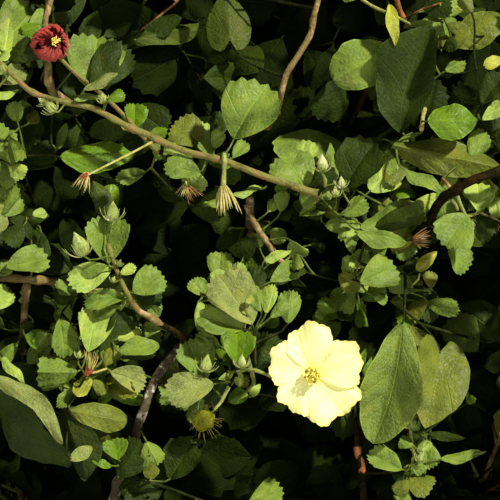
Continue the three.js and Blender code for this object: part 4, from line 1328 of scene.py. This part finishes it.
# A stem that starts within TOUCHING mm of wood grows from it. Another one has a lead, which for a half width
# of THICK_STEM pixels and more comes from the front mass's own stem. A stalk over WOODY_STALK mm can bear
# others, and one over LONG_STALK mm starts deeper in and takes a duller, darker tone, which is painted shade.
TOUCHING = 2.5
THICK_STEM = 2.6
WOODY_STALK = 14
LONG_STALK = 18
wood = []


def remember(curve, start=0.0, end=1.0):
    """Keeps a limb's points, so that what comes later can spring from the nearest one."""
    wood.extend(curve.at(np.linspace(start, end, max(3, int(curve.length / 4)))))


def spring(rng, point, heading, tip_radius=0.36, tone="petiole"):
    """A petiole or side twig from the nearest wood, arriving at a point with a heading."""
    away = point - np.array(wood)
    span = np.linalg.norm(away, axis=1)
    turn = 1 - (away @ heading) / np.maximum(span, 0.1)
    nearest = int(np.argmin(span * (1 + 0.5 * turn)))
    start, length = wood[nearest], span[nearest]
    if length < 0.5:
        return
    inward = TOWARDS_VIEWER * (-0.16 if length < LONG_STALK else -0.34) * length
    sag = rng.normal(0, 0.04, 3) * length + inward
    curve = bezier(start, start + away[nearest] * 0.35 + sag, point - heading * length * 0.28 + inward, point)
    # Long stalks take the dull stalk tone, painted shade among the leaves.
    if length > LONG_STALK and tone != "dark":
        tone = "stalk"
    root_radius, steps = min(0.45 + length * 0.008, 0.85), max(4, int(length / 4))
    limb(stem_batches[tone], curve, root_radius, tip_radius, 4 if tone == "dark" else 6, steps)
    if length > WOODY_STALK:
        remember(curve, 0.15, 0.8)


def kinked(rng, curve, sway):
    """The same curve with the slight turns that a stem takes from node to node."""
    nodes = max(3, int(curve.length / 9))
    points = curve.at(np.linspace(0, 1, nodes + 1))
    points[1:-1] += rng.normal(0, sway, (nodes - 1, 3))
    return spline(points, 6)


def dress_picture_stems(stem):
    """The stems that show, with leads in a near-black tone, painted shade, that join them to the front mass's
    own stem.
    """
    rng = np.random.default_rng(31)
    for number, (tone, first, last, pixels) in enumerate(PICTURE_STEMS):
        points = [picture_point(*pixel) for pixel in pixels]
        away = np.linalg.norm(np.array(wood) - points[0], axis=1)
        nearest = wood[np.argmin(away)]
        if away.min() < TOUCHING:
            lead = []
        elif first < THICK_STEM:
            lead = [nearest]
        else:
            root = stem.at(0.3 + 0.03 * (number % 20))
            lead = [root, mix(root, points[0], 0.62) - TOWARDS_VIEWER * 50 - UP * 4]
        curve = spline(lead + points)
        lead_share = 1 - spline(points).length / curve.length
        shown = kinked(rng, Curve(curve.at(np.linspace(lead_share * 0.9, 1, 90))), 0.08 * first)
        bark = barked(shown, lambda share: mix(first, last, share) * PIXEL,
                      sides=12, steps=max(12, int(shown.length / 1.5)), seed=200 + number)
        stem_batches[tone].add(*bark)
        if lead:
            lead_curve = Curve(curve.at(np.linspace(0, lead_share, 30)))
            # The lead takes the near-black tone, painted shade, so that it sinks among the shaded leaves.
            limb(stem_batches["dark"], lead_curve, 0.8, min(first * PIXEL * 0.8, 1.1), 8, 20)
            remember(lead_curve, 0.6, 1)
        remember(shown)


def picture_form(rng, kind, fine):
    """A blade of one kind, with more faces where it is fine."""
    if kind == "fan":
        teeth = int(rng.integers(6, 10))
        columns, rows, rough = (4 * teeth + 1, 12, 0.1) if fine else (2 * teeth + 1, 4, 0.0)
        return fan_form(rng, fold=0, curl=rng.uniform(0.02, 0.26), columns=columns, rows=rows, teeth=teeth,
                        wave=0.05, rough=rough)
    if kind == "heart":
        return heart_form(rng, columns=33 if fine else 13, rows=12 if fine else 4)
    columns, rows, rough = (19, 30, 0.07) if fine else (7, 10, 0.0)
    return long_form(rng, columns, rows, *BLADE_SHAPES[kind], curl=rng.uniform(0.0, 0.16), rough=rough)


def dress_picture_leaf(rng, kind, tone, base, tip, width, near, facing, fold, fine=True, stalk="petiole"):
    """A blade whose outline falls on its pixels however it is turned."""
    start = picture_point(*base, near)
    level = picture_point(*tip, near) - start
    normal = unit([facing[0], -1.0, facing[1]])
    level[1] = (level[0] * normal[0] + level[2] * normal[2]) / -normal[1]
    length = np.linalg.norm(level)
    heading = level / length
    across = np.cross(heading, normal)
    flat = unit(level * [1, 0, 1])
    seen = abs(across[0] * flat[2] - across[2] * flat[0])
    true_width = width * PIXEL / max(seen, 0.35)
    verts, faces, uvs = picture_form(rng, kind, fine)
    usual = np.ptp(verts[:, 0])
    folded = verts + fold * np.abs(verts[:, :1]) * UP
    share = true_width / (length * usual)
    place(near_leaf_batches[tone], (folded, faces, uvs), start, heading, normal, length, share)
    spring(rng, start + heading * 0.6, heading, 0.4, stalk)


def is_gap(x, y):
    return any(((x - gx) / rx) ** 2 + ((y - gy) / ry) ** 2 < 1 for gx, gy, rx, ry in PICTURE_GAPS)


def pixel_from(pixel, turn, half_width, half_height):
    """The pixel that lies at a turn on an oval round another."""
    return pixel[0] + half_width * math.cos(turn), pixel[1] + half_height * math.sin(turn)


def dress_thickets(rng):
    """Small leaves of many turns that crowd round the larger ones."""
    for x, y, half_width, half_height, count in PICTURE_THICKETS:
        for _ in range(count):
            turn, away = any_turn(rng), math.sqrt(rng.random())
            base = pixel_from((x, y), turn, half_width * away, half_height * away)
            way, reach = any_turn(rng), rng.uniform(15, 30)
            tip = pixel_from(base, way, reach, reach)
            tone = deal(rng, THICKET_TONES)
            facing = (rng.normal(-0.1, 0.6), rng.normal(0.3, 0.5))
            width, near, fold = reach * rng.uniform(0.6, 1.0), rng.uniform(-16, 4), rng.uniform(-0.5, 0.5)
            dress_picture_leaf(rng, "fan", tone, base, tip, width, near, facing, fold, fine=False)


def dress_fillers(rng):
    """Plainer leaves in dark tones, painted shade, that close the picture's ground but leave its dark gaps.
    Their petioles take the near-black stem tone.
    """
    for layer in FILLER_LAYERS:
        for _ in range(layer["count"]):
            base = rng.uniform(-14, 514, 2)
            near = rng.uniform(*layer["near"])
            turn, reach = any_turn(rng), rng.uniform(*layer["reach"])
            tip = pixel_from(base, turn, reach, reach)
            kind = deal(rng, {"fan": 0.8, "oval": 0.2})
            tone = deal(rng, layer["tones"])
            facing = (rng.normal(0, 0.5), rng.normal(0.2, 0.4))
            fold = rng.uniform(-0.4, 0.4)
            if layer["over_gaps"] or not (is_gap(*base) or is_gap(*tip)):
                width = reach * (0.9 if kind == "fan" else 0.5)
                dress_picture_leaf(rng, kind, tone, base, tip, width, near, facing, fold, False, "dark")


def pixel_span(base, tip, near):
    """The place of a base, the way from it to a tip and how long that way is."""
    foot = picture_point(*base, near)
    along = picture_point(*tip, near) - foot
    return foot, unit(along), np.linalg.norm(along)


def flower_seat(flower):
    """A flower's middle, the way it faces and its radius."""
    return picture_point(*flower["centre"], flower["near"]), unit(flower["facing"]), flower["radius"]


def dress_picture():
    rng = np.random.default_rng(77)
    stem = mass_stem(front_mass)
    remember(stem, 0.2, 1)
    dress_picture_stems(stem)
    dress_flower(*flower_seat(FRONT_FLOWER), rng, FRONT_FLOWER["petals"])
    dress_spent_flower(rng, *flower_seat(SPENT_FLOWER))
    for leaf in PICTURE_LEAVES:
        dress_picture_leaf(rng, *leaf)
    for bud in PICTURE_BUDS:
        foot, heading, length = pixel_span(*bud)
        dress_bud(rng, foot, heading, length)
        spring(rng, foot, heading)
    for x, y, near, half_width in PICTURE_BURRS:
        centre = picture_point(x, y, near)
        dress_burr(rng, centre, unit([0.3, -0.8, -0.5]), half_width * PIXEL)
        spring(rng, centre, unit([-0.2, 0.3, -0.8]))
    for *span, tone in PICTURE_SEED_HEADS:
        foot, heading, length = pixel_span(*span)
        dress_seed_head(rng, foot, heading, length, bracts=15, steps=6, tone=tone)
        spring(rng, foot, heading, 0.5, "straw")
    dress_thickets(np.random.default_rng(78))
    dress_fillers(np.random.default_rng(79))


# The pot: walls with softly rounded edges and faint turning rings
def outer_radius(height):
    """The radius of the pot's wall at a height, without its rim."""
    neck = POT["rim_radius"] - POT["collar"]
    return mix(POT["foot_radius"], neck, height / (POT["height"] - POT["rim_depth"]))


def inner_radius(height):
    return outer_radius(height) - POT["wall"]


def pot_profile():
    """Radius and height from the middle of the foot, over the rim and down to the middle of the floor."""
    foot, rim, top, floor = POT["foot_radius"], POT["rim_radius"], POT["height"], POT["floor"]
    shoulder = top - POT["rim_depth"]
    neck, mouth = outer_radius(shoulder), inner_radius(top - 2)
    return np.array([
        (0, 0), (foot - 4, 0), (foot - 1.2, 0.9), (foot + 0.2, 3),
        *((outer_radius(z), z) for z in np.linspace(6, shoulder - 3, 60)),
        (neck + 0.4, shoulder - 1), (neck + 2, shoulder), (rim - 3, shoulder + 0.4),
        (rim - 0.8, shoulder + 1.4), (rim, shoulder + 3.6),
        *((rim, z) for z in np.linspace(shoulder + 6, top - 5, 10)),
        (rim - 0.7, top - 2), (rim - 3, top - 0.3), (rim - 6, top),
        (mouth + 5, top), (mouth + 1.6, top - 0.9), (mouth, top - 3.4),
        *((inner_radius(z), z) for z in np.linspace(top - 6, floor, 24)),
        (0, floor),
    ])


def dress_pot():
    rng = np.random.default_rng(3)
    profile, sides = pot_profile(), 144
    turn = turns_round(sides)
    radii, heights = np.repeat(profile[:, :1], sides, axis=1), profile[:, 1:]
    rings = 0.22 * np.sin(heights * 1.1 + 0.6 * np.sin(heights * 0.21))
    sway = sum(rng.normal(0, 0.12) * np.cos(k * turn + rng.uniform(0, 6)) for k in range(2, 9))
    foot_middle = 60
    radii = np.where(radii > foot_middle, radii + rings + sway - 0.3, radii)
    around = [radii * np.cos(turn), radii * np.sin(turn), np.repeat(heights, sides, axis=1)]
    batch = Batch("clay_pot", clay_material(), "terracotta", ["pot"])
    batch.add(np.stack(around, axis=-1).reshape(-1, 3), grid_faces(len(profile), sides, wrap=True))
    batch.build()


def dress_soil():
    """Crumbly mix with a slight dish, and flakes of bark lying on it."""
    rng = np.random.default_rng(4)
    rows, sides, ripples, flake_count = 56, 150, 60, 260
    flat, dish, slope, edge_height = 60, 4.5, 72, 207
    edge = inner_radius(edge_height) - 0.8
    radius, turn = (np.linspace(0.02, 1, rows) * edge)[:, None], turns_round(sides)
    x, y = radius * np.cos(turn), radius * np.sin(turn)
    height = np.full_like(x, SOIL_TOP - 1.5) - dish * np.clip((radius - flat) / (edge - flat), 0, 1)
    for _ in range(ripples):
        kx, ky = rng.normal(0, 0.28, 2)
        height += 0.28 * np.sin(kx * x + ky * y + rng.uniform(0, 6))
    soil = Batch("potting_soil", soil_material(), "potting_mix", ["potting_mix"])
    foot = np.stack([x[-1], y[-1], np.full(sides, POT["floor"] + 2.0)], axis=-1) * [0.78, 0.78, 1]
    verts = np.vstack([np.stack([x, y, height], axis=-1).reshape(-1, 3), foot])
    soil.add(verts, grid_faces(rows + 1, sides, wrap=True)[:, ::-1])
    flakes = Batch("bark_flakes", stem_looks["brown"], "potting_mix", ["potting_mix"])
    squash = np.abs(np.cos(turns_round(6))) * 0.65 + 0.35
    for _ in range(flake_count):
        away, angle = edge * math.sqrt(rng.uniform(0.02, 0.94)), any_turn(rng)
        lie = SOIL_TOP - 1 - dish * max(0, (away - flat) / slope)
        centre = np.array([away * math.cos(angle), away * math.sin(angle), lie])
        size = rng.uniform(2.5, 8)
        along = unit([rng.normal(), rng.normal(), rng.normal(0, 0.25)])
        points = centre + along * (np.linspace(-0.5, 0.5, 5) * size)[:, None]
        girth = np.array([0.1, 0.7, 1.0, 0.85, 0.15]) * size * 0.3
        flakes.add(*tube(points, girth[:, None] * squash, 6))
    soil.build()
    flakes.build()


dress_limbs()
for mass in masses:
    dress_mass(mass)
    if mass is not front_mass:
        dress_bough(mass)
dress_picture()
dress_flanks()
dress_pot()
dress_soil()

all_batches = [*leaf_batches.values(), *near_leaf_batches.values(), *stem_batches.values(), bark_batch,
               *flower_batches.values()]
for batch in all_batches:
    if batch.count:
        batch.build()


# Studio
def aim(thing, target):
    away = Vector(target) - Vector(thing.location)
    thing.rotation_euler = away.to_track_quat("-Z", "Y").to_euler()


def add_sun(name, position, strength, width, colour):
    """An even light from far off, where a position points. Its width sets how soft its shadows are."""
    data = bpy.data.lights.new(name, "SUN")
    data.energy = strength
    data.angle = width
    data.color = colour
    light = bpy.data.objects.new(name, data)
    light.location = position
    aim(light, (0, 0, 0))
    add_to_scene(light)


def set_up_studio():
    world = bpy.data.worlds.new("studio")
    world.use_nodes = True
    background = world.node_tree.nodes["Background"]
    background.inputs["Color"].default_value = (0.9, 0.9, 0.82, 1)
    background.inputs["Strength"].default_value = 0.1
    bpy.context.scene.world = world
    add_sun("key", (1.6, -1.95, 1.8), 5.0, 0.06, (1.0, 0.985, 0.93))
    add_sun("back", (-0.8, 2.6, 2.0), 0.6, 0.5, (1.0, 0.98, 0.95))
    reach = 40.0
    corners = [(-reach, -reach, 0), (reach, -reach, 0), (reach, reach, 0), (-reach, reach, 0)]
    mesh = bpy.data.meshes.new("floor")
    mesh.from_pydata(corners, [], [(0, 1, 2, 3)])
    look = Look("studio_floor")
    look.surface({"Base Color": (0.8, 0.79, 0.77, 1), "Roughness": 0.8})
    mesh.materials.append(look.material)
    floor = bpy.data.objects.new("floor", mesh)
    add_to_scene(floor)


def set_up_camera():
    data = bpy.data.cameras.new("camera")
    data.sensor_width = 36
    data.lens = data.sensor_width / 2 * PICTURE["distance"] / HALF_PICTURE
    camera = bpy.data.objects.new("camera", data)
    camera.location = (0, (PICTURE["plane"] - PICTURE["distance"]) * MM, PICTURE["height"] * MM)
    aim(camera, (0, PICTURE["plane"] * MM, PICTURE["height"] * MM))
    add_to_scene(camera)
    bpy.context.scene.camera = camera
    bpy.context.scene.view_settings.view_transform = "Standard"


set_up_studio()
set_up_camera()
